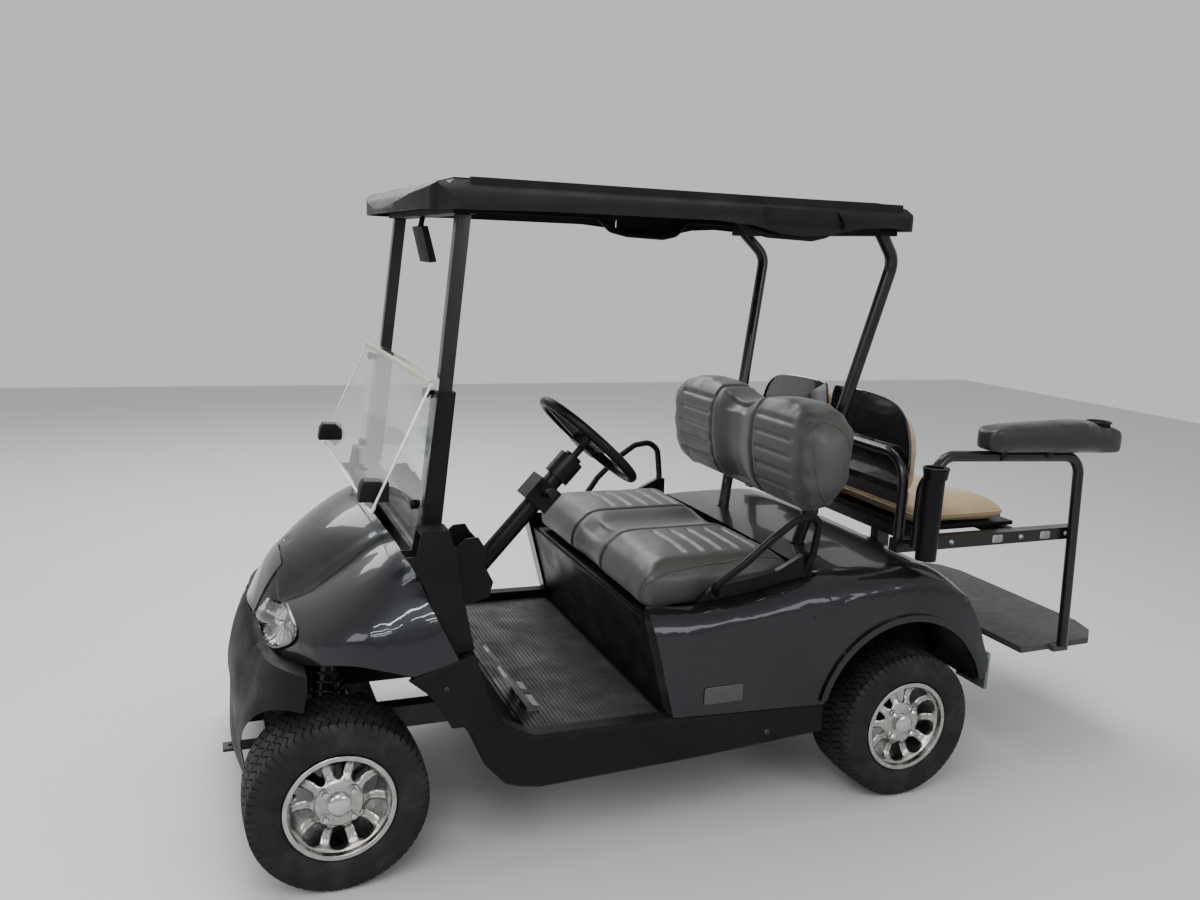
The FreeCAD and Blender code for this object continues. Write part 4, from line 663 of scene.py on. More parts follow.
def hub_trim(outward):
    """The chrome cap, four nuts in their seats and the valve, on a wheel's face."""
    cap = lathe([(0.052, 0.0275), (0.074, 0.0275), (0.0765, 0.029), (0.079, 0.029), (0.0815, 0.0265),
                 (0.0845, 0.0205), (0.0858, 0.012), (0.0860, 0.002)], 48)
    parts = [cap]
    for k in range(4):
        turn = math.pi / 2 * k + math.pi / 4
        seat = Matrix.Translation((NUT_CIRCLE * math.cos(turn), NUT_CIRCLE * math.sin(turn), 0.0))
        nut = lathe([(0.060, 0.0098), (0.080, 0.0094), (0.0828, 0.0075), (0.084, 0.003)], 6)
        collar = lathe([(0.060, 0.0135), (0.0712, 0.0135), (0.0722, 0.0128), (0.0722, 0.0105),
                        (0.0712, 0.0102)], 24)
        parts += [turned(nut, seat), turned(collar, seat)]
    valve = lathe([(0.056, 0.0042), (0.074, 0.0042), (0.0755, 0.0034), (0.0775, 0.003)], 12)
    at = (VALVE_CIRCLE * math.cos(VALVE_TURN), VALVE_CIRCLE * math.sin(VALVE_TURN), 0.0)
    parts.append(turned(valve, Matrix.Translation(at)))
    upright = Matrix(((1, 0, 0, 0), (0, 0, outward, 0), (0, 1, 0, 0), (0, 0, 0, 1)))
    points, faces = turned(joined(parts), upright)
    if outward > 0:
        faces = [f[::-1] for f in faces]
    mesh = bpy.data.meshes.new("hub_trim")
    mesh.from_pydata(points, [], faces)
    mesh.validate()
    mesh.shade_smooth()
    mesh.set_sharp_from_angle(angle=math.radians(28.0))
    return mesh


def dress_wheels(sizes):
    """Tyres, wheels and hub trim at all four corners."""
    for side, outward in (("left", 1), ("right", -1)):
        meshes = (("tyre", tyre_mesh(outward, sizes), "tyre_rubber", "tyre_rubber"),
                  ("rim", wheel_mesh(outward, sizes), ("alloy", "alloy_window"), "alloy"),
                  ("hub", hub_trim(outward), "chrome", None))
        for end in ("front", "rear"):
            low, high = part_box(f"tyre_{end}_{side}")
            place = Matrix.Translation((low + high) / 2)
            body = frame["nodes"][f"tyre_{end}_{side}"]["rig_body"]
            for name, mesh, finish, slot in meshes:
                piece = settle(f"{name}_{end}_{side}_full", mesh.copy(), finish, body, slot, False, place)
                if name != "hub":
                    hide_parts(f"{name}_{end}_{side}")


CLOTH_PRESSURE = 4.0
CLOTH_FRAMES = 20


def swollen(node, name, finish, voxel, inset, cap):
    """A padded piece in a CAD solid's place: a slightly smaller closed cover, blown up as cloth."""
    part = frame["nodes"][node]
    piece = settle(name, copied_mesh(node, name), finish, part["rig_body"], part.data.materials[0].name)
    low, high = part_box(node)
    middle, size = (low + high) / 2, high - low
    shrink = Matrix.Diagonal([1 - 2 * inset / s for s in size] + [1])
    piece.data.transform(Matrix.Translation(middle) @ shrink @ Matrix.Translation(-middle))
    add_modifier(piece, "REMESH", mode="VOXEL", voxel_size=voxel)
    add_modifier(piece, "SMOOTH", factor=0.5, iterations=6)
    apply_modifiers(piece)
    before = np.array([v.co for v in piece.data.vertices])
    cloth = add_modifier(piece, "CLOTH")
    cloth.settings.use_pressure = True
    cloth.settings.uniform_pressure_force = CLOTH_PRESSURE
    cloth.settings.effector_weights.gravity = 0
    cloth.point_cache.frame_end = CLOTH_FRAMES
    for moment in range(1, CLOTH_FRAMES + 1):
        bpy.context.scene.frame_set(moment)
    apply_modifiers(piece)
    bpy.context.scene.frame_set(1)
    after = np.array([v.co for v in piece.data.vertices])
    moved = after - before
    length = np.linalg.norm(moved, axis=1)[:, None]
    after = before + moved * np.minimum(1.0, cap / np.maximum(length, 1e-9))
    piece.data.vertices.foreach_set("co", after.ravel())
    add_modifier(piece, "SMOOTH", factor=0.5, iterations=7)
    add_modifier(piece, "SUBSURF", levels=1)
    apply_modifiers(piece)
    piece.data.materials.clear()
    piece.data.materials.append(FINISHES[finish])
    piece.data.shade_smooth()
    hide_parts(node)
    return piece


def pressed(piece, shift):
    """Moves each point of a soft piece by shift(points, normals), an array of moves."""
    count = len(piece.data.vertices)
    points = np.empty(count * 3)
    normals = np.empty(count * 3)
    piece.data.vertices.foreach_get("co", points)
    piece.data.vertices.foreach_get("normal", normals)
    points, normals = points.reshape(-1, 3), normals.reshape(-1, 3)
    piece.data.vertices.foreach_set("co", (points + shift(points, normals)).ravel())
    piece.data.update()


def valley(distance, width):
    """A soft groove: 1 on the seam, fading over width."""
    return np.exp(-(distance / width) ** 2)


def step(value, start, end):
    """0 before start, 1 after end, smooth between."""
    t = np.clip((value - start) / (end - start), 0, 1)
    return t * t * (3 - 2 * t)


def piping(name, piece, lines, finish, radius, lift=0.4):
    """Sewn piping that follows a soft piece's surface along each line."""
    tree = BVHTree.FromObject(piece, bpy.context.evaluated_depsgraph_get())
    parts = []
    for line, closed in lines:
        snapped = []
        for point in smooth_path(line, 10, closed):
            spot, normal = tree.find_nearest(point)[:2]
            snapped.append(spot + normal * radius * lift)
        parts.append(tube(snapped, radius, 8, closed))
    make_piece(name, *joined(parts), finish, piece["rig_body"], piece.get("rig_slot"))


WAIST = 0.128
CHANNELS = 5
CHANNEL_WIDTH = 0.0075
CUSHION_PITCH = 0.058
BACK_PITCH = 0.052


def dress_front_cushion(sizes):
    """The bench cushion: two lobes with sewn channels, a smooth waist between them, piped ends."""
    piece = swollen("seat_cushion", "seat_cushion_soft", "seat_vinyl", 0.009, 0.012, sizes.seat_swell)
    low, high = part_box("seat_cushion")
    channels = [low.x + 0.1 + CUSHION_PITCH * k for k in range(CHANNELS)]

    def shape(points, normals):
        x, y = points[:, 0], np.abs(points[:, 1])
        up = step(normals[:, 2], 0.3, 0.8)
        front = step(normals[:, 0], 0.2, 0.7)
        down = np.zeros(len(points))
        for channel in channels:
            down += valley(x - channel, CHANNEL_WIDTH) * step(y, WAIST + 0.01, WAIST + 0.05)
        down *= sizes.pleat_depth * (1 - step(y, 0.36, 0.40)) * up
        seam = valley(y - WAIST, 0.008) * 0.006 + valley(y - (high.y - 0.03), 0.007) * 0.003
        waist = (1 - step(y, 0.02, WAIST)) * 0.014
        down += seam * np.maximum(up, front) + waist * (up + 0.6 * front)
        return -normals * down[:, None]

    pressed(piece, shape)
    top, bottom = high.z + 0.01, low.z + 0.02
    lines = []
    for side in SIDES:
        edge = side * (high.y - 0.022)
        lines.append(([(high.x - 0.004, edge, bottom), (high.x - 0.012, edge, low.z + 0.075),
                       (high.x - 0.06, edge, high.z - 0.05), (high.x - 0.14, edge, high.z - 0.02),
                       (low.x + 0.2, edge, top), (low.x + 0.03, edge, top), (low.x, edge, top - 0.06)],
                      False))
    piping("seat_cushion_piping", piece, lines, "seat_vinyl", sizes.piping)
    waists = [([(high.x, side * WAIST, bottom), (high.x, side * WAIST, high.z - 0.06),
                (high.x - 0.08, side * WAIST, high.z), (low.x + 0.15, side * WAIST, high.z),
                (low.x, side * WAIST, high.z)], False) for side in SIDES]
    piping("seat_cushion_seams", piece, waists, "seat_vinyl", sizes.piping * 0.45, 0.1)


def dress_front_back(sizes):
    """The bench back: two lobes with sewn channels, a recessed waist and piped end panels."""
    piece = swollen("seat_back", "seat_back_soft", "seat_vinyl", 0.009, 0.012, sizes.seat_swell)
    low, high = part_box("seat_back")
    channels = [low.z + 0.085 + BACK_PITCH * k for k in range(CHANNELS)]

    def shape(points, normals):
        y, z = np.abs(points[:, 1]), points[:, 2]
        front = step(normals[:, 0], 0.25, 0.7)
        top = step(normals[:, 2], 0.3, 0.8)
        down = np.zeros(len(points))
        for channel in channels:
            down += valley(z - channel, CHANNEL_WIDTH)
        down *= sizes.pleat_depth * front
        down *= step(y, WAIST + 0.01, WAIST + 0.04) * (1 - step(y, 0.35, 0.39))
        down += valley(y - WAIST - 0.01, 0.008) * 0.006 * np.maximum(front, top)
        down += (1 - step(y, 0.02, WAIST)) * (0.02 * front + 0.012 * top)
        return -normals * down[:, None]

    pressed(piece, shape)
    middle = (low + high) / 2
    ends = []
    for side in SIDES:
        y = side * (high.y - 0.014)
        oval = [(middle.x + 0.43 * (high.x - low.x) * math.cos(a) + 0.05 * math.sin(a), y,
                 middle.z + 0.46 * (high.z - low.z) * math.sin(a))
                for a in np.linspace(0, 2 * math.pi, 13)[:-1]]
        ends.append((oval, True))
    piping("seat_back_piping", piece, ends, "seat_vinyl", sizes.piping)
    heights = np.linspace(low.z + 0.03, high.z - 0.02, 7)
    seams = [([(high.x, side * (WAIST + 0.01), z) for z in heights], False) for side in SIDES]
    piping("seat_back_seams", piece, seams, "seat_vinyl", sizes.piping * 0.45, 0.1)


def dress_rear_seats(sizes):
    """The rear bench: a plain beige cushion with soft folds and two beige back pads."""
    cushion = swollen("rear_cushion", "rear_cushion_soft", "rear_vinyl", 0.012, 0.008, 0.016)

    def folds(points, normals):
        up = step(normals[:, 2], 0.2, 0.8)
        x, y = points[:, 0], points[:, 1]
        soft = 0.0022 * np.sin(y * 23 + 3 * np.sin(x * 9)) * np.sin(x * 17 + 1.3)
        return normals * (soft * up)[:, None]

    pressed(cushion, folds)
    low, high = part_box("rear_cushion")
    around = [(low.x, low.y), (high.x, low.y), (high.x, high.y), (low.x, high.y)]
    seam = []
    for (ax, ay), (bx, by) in zip(around, around[1:] + around[:1]):
        seam += [(ax + (bx - ax) * t, ay + (by - ay) * t, (low.z + high.z) / 2)
                 for t in (0.06, 0.35, 0.65, 0.94)]
    piping("rear_cushion_piping", cushion, [(seam, True)], "rear_vinyl", sizes.piping)
    swollen("rear_backrests", "rear_backrests_soft", "rear_vinyl", 0.010, 0.005, 0.01)
    swollen("armrest", "armrest_soft", "seat_vinyl_black", 0.007, 0.004, 0.006)
    dress_shells()


def rounded_outline(points, rounds=3):
    """A closed outline with its corners cut again and again until they are round."""
    for _ in range(rounds):
        cut = []
        for a, b in zip(points, points[1:] + points[:1]):
            cut += [a.lerp(b, 0.25), a.lerp(b, 0.75)]
        points = cut
    return points


# The rolled rim of a shell and its face: share of the outline, and how far it stands out
SHELL_RIM = ((1.0, 0.002), (1.0, 0.007), (0.985, 0.0085), (0.968, 0.006), (0.955, 0.002), (0.6, 0.004),
             (0.3, 0.005))


def dress_shells():
    """The glossy shell behind each rear back pad, with a rolled rim."""
    low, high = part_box("backrest_shells")
    work = bmesh.new()
    work.from_mesh(copied_mesh("backrest_shells", "outline", 0))
    shells = []
    for side in SIDES:
        corners = {(round(v.co.y, 4), round(v.co.z, 4)) for v in work.verts if v.co.y * side > 0}
        middle = Vector((sum(c[0] for c in corners), sum(c[1] for c in corners))) / len(corners)
        ring = sorted((Vector(c) for c in corners),
                      key=lambda c: math.atan2(c.y - middle.y, c.x - middle.x))
        ring = rounded_outline(ring, 2)
        count = len(ring)
        points = []
        for share, rise in SHELL_RIM:
            points += [(high.x + rise, middle.x + (c.x - middle.x) * share,
                        middle.y + (c.y - middle.y) * share) for c in ring]
        rows = len(SHELL_RIM)
        faces = strip_faces(rows, count, False, True)
        faces.append(tuple(range((rows - 1) * count, rows * count)))
        faces.append(tuple(range(count))[::-1])
        shells.append((points, faces))
    work.free()
    piece = make_piece("backrest_shells_moulded", *joined(shells), "gloss_black", slot="black_plastic")
    piece.data.set_sharp_from_angle(angle=math.radians(50.0))
    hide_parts("backrest_shells")


def crease_distance(points, line):
    """Each point's distance to a line of points, mirrored to the points' own side."""
    points = np.column_stack([points[:, 0], np.abs(points[:, 1]), points[:, 2]])
    best = np.full(len(points), 9.0)
    for a, b in zip(line, line[1:]):
        a, b = np.array(a), np.array(b)
        along = b - a
        t = np.clip((points - a) @ along / (along @ along), 0, 1)
        best = np.minimum(best, np.linalg.norm(points - a - t[:, None] * along, axis=1))
    return best


def inside_outline(u, v, outline):
    """Which of the points (u, v) lie inside a closed outline."""
    inside = np.zeros(len(u), bool)
    for (au, av), (bu, bv) in zip(outline, outline[1:] + outline[:1]):
        if av != bv:
            crossing = (bu - au) * (v - av) / (bv - av) + au
            inside ^= ((av > v) != (bv > v)) & (u < crossing)
    return inside


CREASE_EDGE = 0.006
CREASE_REACH = 0.02


def press_crease(work, crease):
    """Small triangles along a crease and a soft step across it: its inside stands proud."""
    line, axes, rise, facing_axis = crease
    for _ in range(5):
        centres = np.array([(e.verts[0].co + e.verts[1].co) / 2 for e in work.edges])
        near = crease_distance(centres, line)
        cuts = [e for e, d in zip(work.edges, near) if d < CREASE_REACH and e.calc_length() > CREASE_EDGE]
        if not cuts:
            break
        bmesh.ops.subdivide_edges(work, edges=cuts, cuts=1)
        triangles_only(work)
    work.normal_update()
    points = np.array([v.co for v in work.verts])
    facing_out = np.array([abs(v.normal[facing_axis]) > 0.35 for v in work.verts])
    near = crease_distance(points, line)
    outline = [(p[axes[0]], abs(p[axes[1]])) for p in line]
    inner = inside_outline(points[:, axes[0]], np.abs(points[:, axes[1]]), outline)
    side = np.where(inner, near, -near)
    move = rise * step(side, -0.004, 0.004) * (1 - step(side, 0.03, 0.06)) - 0.0009 * valley(near, 0.004)
    for v, m, out in zip(work.verts, move, facing_out):
        if out and v.normal.length:
            v.co += v.normal * float(m)


# The hood shield's edge and the side panel's upper edge, in the row frame
HOOD_EDGE = ((1.0215, 0.30, 0.829), (1.0765, 0.30, 0.799), (1.1285, 0.30, 0.773), (1.1805, 0.29, 0.741),
             (1.2295, 0.275, 0.707), (1.2575, 0.25, 0.679), (1.2815, 0.225, 0.667), (1.2995, 0.2, 0.677),
             (1.3035, 0.15, 0.695), (1.3015, 0.10, 0.725), (1.2825, 0.0, 0.77))
PANEL_EDGE = ((0.236, 0.59, 0.372), (0.239, 0.59, 0.55), (0.228, 0.59, 0.572), (0.20, 0.59, 0.583),
              (0.0, 0.59, 0.610), (-0.16, 0.59, 0.640), (-0.26, 0.59, 0.662))


RIM_ANGLE = math.radians(70.0)
SKIN_SHARP = math.radians(42.0)
SLIVER = 0.0002


def triangles_only(work):
    """Cuts what has more than three corners into triangles."""
    bmesh.ops.triangulate(work, faces=[f for f in work.faces if len(f.verts) > 3])


def relaxed(node, finish, longest, rounds, crease=None):
    """Stands for a CAD skin: its own form in small triangles, soft bends smooth and rims sharp."""
    part = frame["nodes"][node]
    slot = part.data.materials[0].name
    mesh = copied_mesh(node, node + "_skin", 0)
    with opened(mesh) as work:
        bmesh.ops.triangulate(work, faces=work.faces)
        for _ in range(12):
            long_edges = [e for e in work.edges if e.calc_length() > longest]
            if not long_edges:
                break
            bmesh.ops.subdivide_edges(work, edges=long_edges, cuts=1)
            triangles_only(work)
        rims = set()
        for e in work.edges:
            if len(e.link_faces) != 2 or e.calc_face_angle(math.pi) > RIM_ANGLE:
                rims.update(e.verts)
        free = [v for v in work.verts if v not in rims]
        for _ in range(rounds):
            bmesh.ops.smooth_vert(work, verts=free, factor=0.5, use_axis_x=True, use_axis_y=True,
                                  use_axis_z=True)
        if crease:
            press_crease(work, crease)
        bmesh.ops.dissolve_degenerate(work, dist=SLIVER, edges=work.edges)
        bmesh.ops.remove_doubles(work, verts=work.verts, dist=SLIVER)
        triangles_only(work)
    mesh.shade_smooth()
    mesh.set_sharp_from_angle(angle=SKIN_SHARP)
    piece = settle(node + "_skin", mesh, finish, part["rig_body"], slot, False)
    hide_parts(node)


def dress_body():
    """Painted and moulded pieces keep their CAD form, with rounded edges where they are moulded."""
    relaxed("front_cowl", "paint", 0.017, 9, crease=(HOOD_EDGE, (0, 1), 0.0022, 2))
    relaxed("rear_body", "paint", 0.03, 4, crease=(PANEL_EDGE, (0, 2), -0.0016, 1))
    finished("clear_acrylic", "windshield_lower", "windshield_upper")
    relaxed("front_bumper", "black_plastic", 0.02, 6)
    finished("black_plastic", "wheel_liners")
    finished("gloss_black", "nose_trim")
    finished("satin_plastic", "hip_restraints")
    for node, finish, width in (
            ("canopy", "black_plastic", 0.006), ("dashboard", "black_plastic", 0.004),
            ("sills", "black_plastic", 0.005), ("floor_pan", "black_plastic", 0.003),
            ("seat_base", "satin_plastic", 0.004), ("post_covers", "black_plastic", 0.003),
            ("canopy_handles", "black_plastic", 0.003), ("steering_column", "satin_plastic", 0.003),
            ("mirror", "black_plastic", 0.003), ("seat_board", "satin_plastic", 0.003),
            ("rear_seat_board", "satin_plastic", 0.003),
            ("battery_pack", "battery_case", 0.008), ("sand_canister", "satin_plastic", 0.002),
            ("front_posts", "black_steel", 0.003), ("footplate", "grip_plate", 0.002)):
        eased(node, finish, width)


def outer_loop(node, side, out):
    """The outline, as points in order, of a CAD node's faces that look outward on one side."""
    work = bmesh.new()
    work.from_mesh(copied_mesh(node, "outline", 0))
    out = Vector(out).normalized()
    bmesh.ops.delete(work, geom=[f for f in work.faces if f.calc_center_median().y * side < 0
                                 or f.normal.dot(out) < 0.12], context="FACES")
    rim = [e for e in work.edges if len(e.link_faces) == 1]
    loops = []
    while rim:
        edge = rim.pop()
        loop = [edge.verts[0], edge.verts[1]]
        while True:
            following = [e for e in rim if loop[-1] in e.verts]
            if not following:
                break
            rim.remove(following[0])
            loop.append(following[0].other_vert(loop[-1]))
        loops.append([v.co.copy() for v in loop[:-1]])
    work.free()
    return max(loops, key=len)


def even_loop(loop, count):
    """The loop's line again, in evenly spaced points."""
    ends = loop[1:] + loop[:1]
    lengths = np.cumsum([0.0] + [(b - a).length for a, b in zip(loop, ends)])
    even = []
    for want in np.linspace(0, lengths[-1], count, endpoint=False):
        i = min(int(np.searchsorted(lengths, want, "right")) - 1, len(loop) - 1)
        even.append(loop[i].lerp(ends[i], (want - lengths[i]) / max(lengths[i + 1] - lengths[i], 1e-9)))
    return even


LAMP_POINTS = 72
# Rings from the rim to the middle: share of the outline, and how far they lie in or stand out
LAMP_BOWL = ((0.97, 0.004), (0.93, 0.016), (0.84, 0.024), (0.66, 0.032), (0.42, 0.038), (0.2, 0.041),
             (0.09, 0.041))
LAMP_LENS = ((1.0, -0.006), (0.99, 0.0), (0.95, 0.003), (0.8, 0.007), (0.5, 0.0105), (0.2, 0.012),
             (0.02, 0.0122))


def dress_headlamps():
    """Each lamp: a fluted reflector round a bulb, under a clear lens in a black surround."""
    rings = len(LAMP_BOWL)
    faces = strip_faces(rings, LAMP_POINTS, False, True)
    faces.append(tuple(range((rings - 1) * LAMP_POINTS, rings * LAMP_POINTS)))
    for side, name in NAMED_SIDES:
        out = Vector((0.62, 0.72 * side, 0.3)).normalized()
        rim = even_loop(outer_loop("headlamps", side, out), LAMP_POINTS)
        rim = [(rim[i - 1] + rim[i] * 2 + rim[(i + 1) % len(rim)]) / 4 for i in range(len(rim))]
        middle = sum(rim, Vector()) / len(rim)
        bowl, lens = [], []
        for share, sunk in LAMP_BOWL:
            for i, p in enumerate(rim):
                flute = 0.0016 * math.cos(i * math.pi / 2) * (share if share < 0.9 else 0.0)
                bowl.append(middle.lerp(p, share) - out * (sunk + flute))
        for share, proud in LAMP_LENS:
            lens += [middle.lerp(p, share) + out * proud for p in rim]
        reflector = make_piece(f"lamp_reflector_{name}", bowl, faces, "reflector")
        add_modifier(reflector, "SOLIDIFY", thickness=0.0012, offset=0.0)
        apply_modifiers(reflector)
        glass = make_piece(f"lamp_lens_{name}", lens, faces, "lamp_lens", slot="lamp_lens")
        add_modifier(glass, "SOLIDIFY", thickness=0.0015, offset=0.0)
        apply_modifiers(glass)
        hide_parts("headlamps")
        bulb = turned(lathe([(-0.03, 0.009), (-0.016, 0.009), (-0.012, 0.0075), (-0.004, 0.007),
                             (0.0, 0.0045), (0.001, 0.001)], 24), facing(middle - out * 0.006, out))
        make_piece(f"lamp_bulb_{name}", *bulb, "chrome")
        make_piece(f"lamp_surround_{name}", *tube([p + out * 0.0005 for p in rim], 0.0052, 10, True),
                   "gloss_black")


def bolt(place, normal, radius=0.007):
    """A domed bolt on its washer."""
    head = lathe([(-0.001, radius * 1.5), (0.0012, radius * 1.5), (0.0016, radius * 1.15), (0.0045, radius),
                  (0.0062, radius * 0.72), (0.0066, radius * 0.35)], 24)
    return turned(head, facing(place, normal))


PLATE_THICK = 0.0016
PLATE_CORNER = 0.006


def plate(place, normal, width, height):
    """A blank upright plate with rounded corners."""
    outline = []
    for cx, cy, start in ((1, 1, 0), (-1, 1, 90), (-1, -1, 180), (1, -1, 270)):
        for k in range(5):
            turn = math.radians(start + 22.5 * k)
            outline.append((cx * (width / 2 - PLATE_CORNER) + PLATE_CORNER * math.cos(turn),
                            cy * (height / 2 - PLATE_CORNER) + PLATE_CORNER * math.sin(turn)))
    ahead, above = Vector(normal), Vector((0, 0, 1))
    across = above.cross(ahead)
    points = []
    for inset, rise in ((0.0, 0.0), (0.0, PLATE_THICK * 0.7), (0.06, PLATE_THICK)):
        points += [Vector(place) + across * x * (1 - inset) + above * y * (1 - inset) + ahead * rise
                   for x, y in outline]
    count = len(outline)
    faces = strip_faces(3, count, False, True)
    faces += [tuple(range(count))[::-1], tuple(range(2 * count, 3 * count))]
    return points, faces


# Places on the cart's sides, as (x, z)
SILL_BOLTS = ((0.934, 0.528), (-0.002, 0.279))
BADGE_SPOT = (0.147, 0.413)
BADGE_SIZE = (0.122, 0.05)
KIT_LINE_Z = 0.762
KIT_PLATES_X = (-0.883, -1.08)
KIT_PLATE_SIZE = (0.042, 0.026)
KIT_BOLTS_X = (-0.56, -0.70, -0.98, -1.17)


def dress_trim():
    """Bolts, blank plates, knobs, mat ribs, coils, splash panels and the cup holder's rim."""
    side_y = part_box("sills")[1].y
    bolts = [bolt((x, side * side_y, z), (0, side, 0)) for x, z in SILL_BOLTS for side in SIDES]
    make_piece("sill_bolts", *joined(bolts), "black_steel")
    badges = []
    x, z = BADGE_SPOT
    for side in SIDES:
        panel_y = surface("rear_body", (x, side, z), (0, -side, 0)).y
        badges.append(plate((x, panel_y + side * 0.0006, z), (0, side, 0), *BADGE_SIZE))
    make_piece("side_badges", *joined(badges), "gloss_black")
    dress_mat()
    dress_sill_legs()
    dress_apron()
    dress_kit_bolts()
    dress_struts()
    dress_windshield_trim()
    dress_armrest_cup()
    rail_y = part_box("rear_seat_frame")[1].y
    plates = [plate((x, rail_y + 0.0004, KIT_LINE_Z), (0, 1, 0), *KIT_PLATE_SIZE) for x in KIT_PLATES_X]
    make_piece("kit_plates", *joined(plates), "bare_steel")


def bevelled_piece(name, part, finish, width, slot=None):
    """A closed piece with softly rounded edges, its faces turned outward."""
    piece = make_piece(name, *part, finish, slot=slot)
    add_modifier(piece, "BEVEL", width=width, segments=3, limit_method="ANGLE",
                 angle_limit=math.radians(30))
    apply_modifiers(piece)
    piece.data.set_sharp_from_angle(angle=SHARP_ANGLE)
    with opened(piece.data) as work:
        bmesh.ops.recalc_face_normals(work, faces=work.faces)
    return piece


def extruded(outline, axis, start, end):
    """A closed prism: the outline's two coordinates, with start and end along the given axis."""
    points = []
    for level in (start, end):
        for u, v in outline:
            place = [u, v]
            place.insert(axis, level)
            points.append(tuple(place))
    count = len(outline)
    faces = strip_faces(2, count, False, True)
    faces += [tuple(range(count))[::-1], tuple(range(count, 2 * count))]
    return points, faces


LEG_TOP = ((1.030, 0.560), (0.862, 0.612), (0.846, 0.560), (0.826, 0.500), (0.80, 0.42), (0.92, 0.42),
           (0.955, 0.485), (0.985, 0.522))


def dress_sill_legs():
    """The top of each sill's front leg, which laps over the cowl's lower corner."""
    side_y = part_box("sills")[1].y
    for side, name in NAMED_SIDES:
        part = extruded(LEG_TOP, 1, side * (side_y - 0.012), side * (side_y + 0.0035))
        bevelled_piece(f"sill_leg_{name}", part, "black_plastic", 0.003)


def dress_apron():
    """The dark splash panels between the front wheels, under the cowl."""
    low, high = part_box("chassis_frame")
    foot, left, right = high.z - 0.02, high.y - 0.03, low.y + 0.03
    rear, top, thick = 0.935, 0.60, 0.004
    panel = ((rear, foot), (rear, top), (1.12, top), (1.24, 0.54), (1.24, foot))
    for y, side, name in ((left, 1, "left"), (right, -1, "right")):
        bevelled_piece(f"splash_panel_{name}", extruded(panel, 1, y, y - side * thick), "black_plastic",
                       0.001)
    cross = ((left, foot), (left, top), (right, top), (right, foot))
    bevelled_piece("splash_panel_rear", extruded(cross, 0, rear, rear + thick), "black_plastic", 0.001)


def dress_kit_bolts():
    """The bolts along the rear seat's frame."""
    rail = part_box("rear_seat_frame")[1]
    bolts = [bolt((x, side * rail.y, KIT_LINE_Z), (0, side, 0), 0.006) for x in KIT_BOLTS_X
             for side in SIDES]
    make_piece("kit_bolts", *joined(bolts), "bare_steel")


def dress_mat():
    """The floor mat's ribs, which run across the floor."""
    low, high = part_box("floor_mat")
    parts = []
    pitch, rib, sunk, rise = 0.0125, 0.0034, 0.0005, 0.0022
    faces = [(0, 1, 5, 4), (1, 2, 6, 5), (2, 3, 7, 6), (3, 0, 4, 7), (0, 3, 2, 1), (4, 5, 6, 7)]
    for k in range(1, int((high.x - low.x) / pitch)):
        x = low.x + k * pitch
        ridge = [(x - rib, high.z - sunk), (x - rib * 0.6, high.z + rise),
                 (x + rib * 0.6, high.z + rise), (x + rib, high.z - sunk)]
        points = [(px, y, z) for y in (low.y + 0.02, high.y - 0.02) for px, z in ridge]
        parts.append((points, faces))
    make_piece("mat_ribs", *joined(parts), "mat_rubber", slot="mat_rubber", smooth=False)


def dress_struts():
    """A coil spring round each front strut."""
    turns, steps, radius, drop = 6, 16, 0.036, 0.16
    low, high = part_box("front_struts")
    for side, name in NAMED_SIDES:
        top = Vector(((low.x + high.x) / 2, side * (high.y - 0.04), high.z - 0.03))
        coil = []
        for k in range(turns * steps + 1):
            turn = 2 * math.pi * k / steps
            coil.append(top + Vector((radius * math.cos(turn), radius * math.sin(turn),
                                      -drop * k / (turns * steps))))
        make_piece(f"strut_coil_{name}", *tube(coil, 0.0055, 10), "black_steel")


def dress_windshield_trim():
    """Bright cut edges of the folded windshield half, the hinge strip above it, clips and knobs."""
    low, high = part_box("windshield_upper")
    foot, top = Vector((high.x - 0.001, 0, low.z + 0.003)), Vector((low.x + 0.004, 0, high.z - 0.004))
    half, edge = high.y, 0.0032
    edges = []
    for side in SIDES:
        out = Vector((0, side * half, 0))
        edges.append(tube([foot + out, top + out], edge, 6))
    edges.append(tube([foot + Vector((0, -half, 0)), foot + Vector((0, half, 0))], edge, 6, up=(1, 0, 0)))
    make_piece("windshield_edges", *joined(edges), "acrylic_edge", slot="clear_acrylic")
    strip = Vector((top.x + 0.004, 0, top.z + 0.004))
    make_piece("hinge_strip", *tube([strip + Vector((0, -half, 0)), strip + Vector((0, half, 0))], 0.009, 12,
                                    flat=0.5, up=(1, 0, 0)), "hinge_strip")
    clip_low, clip_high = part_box("windshield_clips")
    clips = []
    for side in SIDES:
        outline = ((clip_low.x, clip_low.z), (clip_low.x, clip_high.z),
                   (clip_high.x + 0.02, clip_high.z + 0.004), (clip_high.x + 0.03, clip_high.z - 0.012),
                   (clip_high.x + 0.036, clip_low.z + 0.002))
        clips.append(extruded(outline, 1, side * 0.402, side * 0.45))
    piece = bevelled_piece("windshield_clips_moulded", joined(clips), "black_plastic", 0.0035,
                           "black_plastic")
    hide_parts("windshield_clips")
    post_low, post_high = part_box("front_posts")
    knob = lathe([(0.0, 0.006), (0.012, 0.006), (0.013, 0.0125), (0.024, 0.0125), (0.027, 0.010)], 20)
    knobs = []
    for side in SIDES:
        for z in (1.25, 0.965):
            share = (z - post_low.z) / (post_high.z - post_low.z)
            x = post_high.x - 0.018 + (post_low.x - post_high.x + 0.036) * share
            knobs.append(turned(knob, facing((x + 0.026, side * (post_high.y - 0.034), z), (1, 0, 0))))
    make_piece("windshield_knobs", *joined(knobs), "satin_plastic")


CUP_SUNK = 0.011
CLAMPS_X = (-0.838, -1.02)


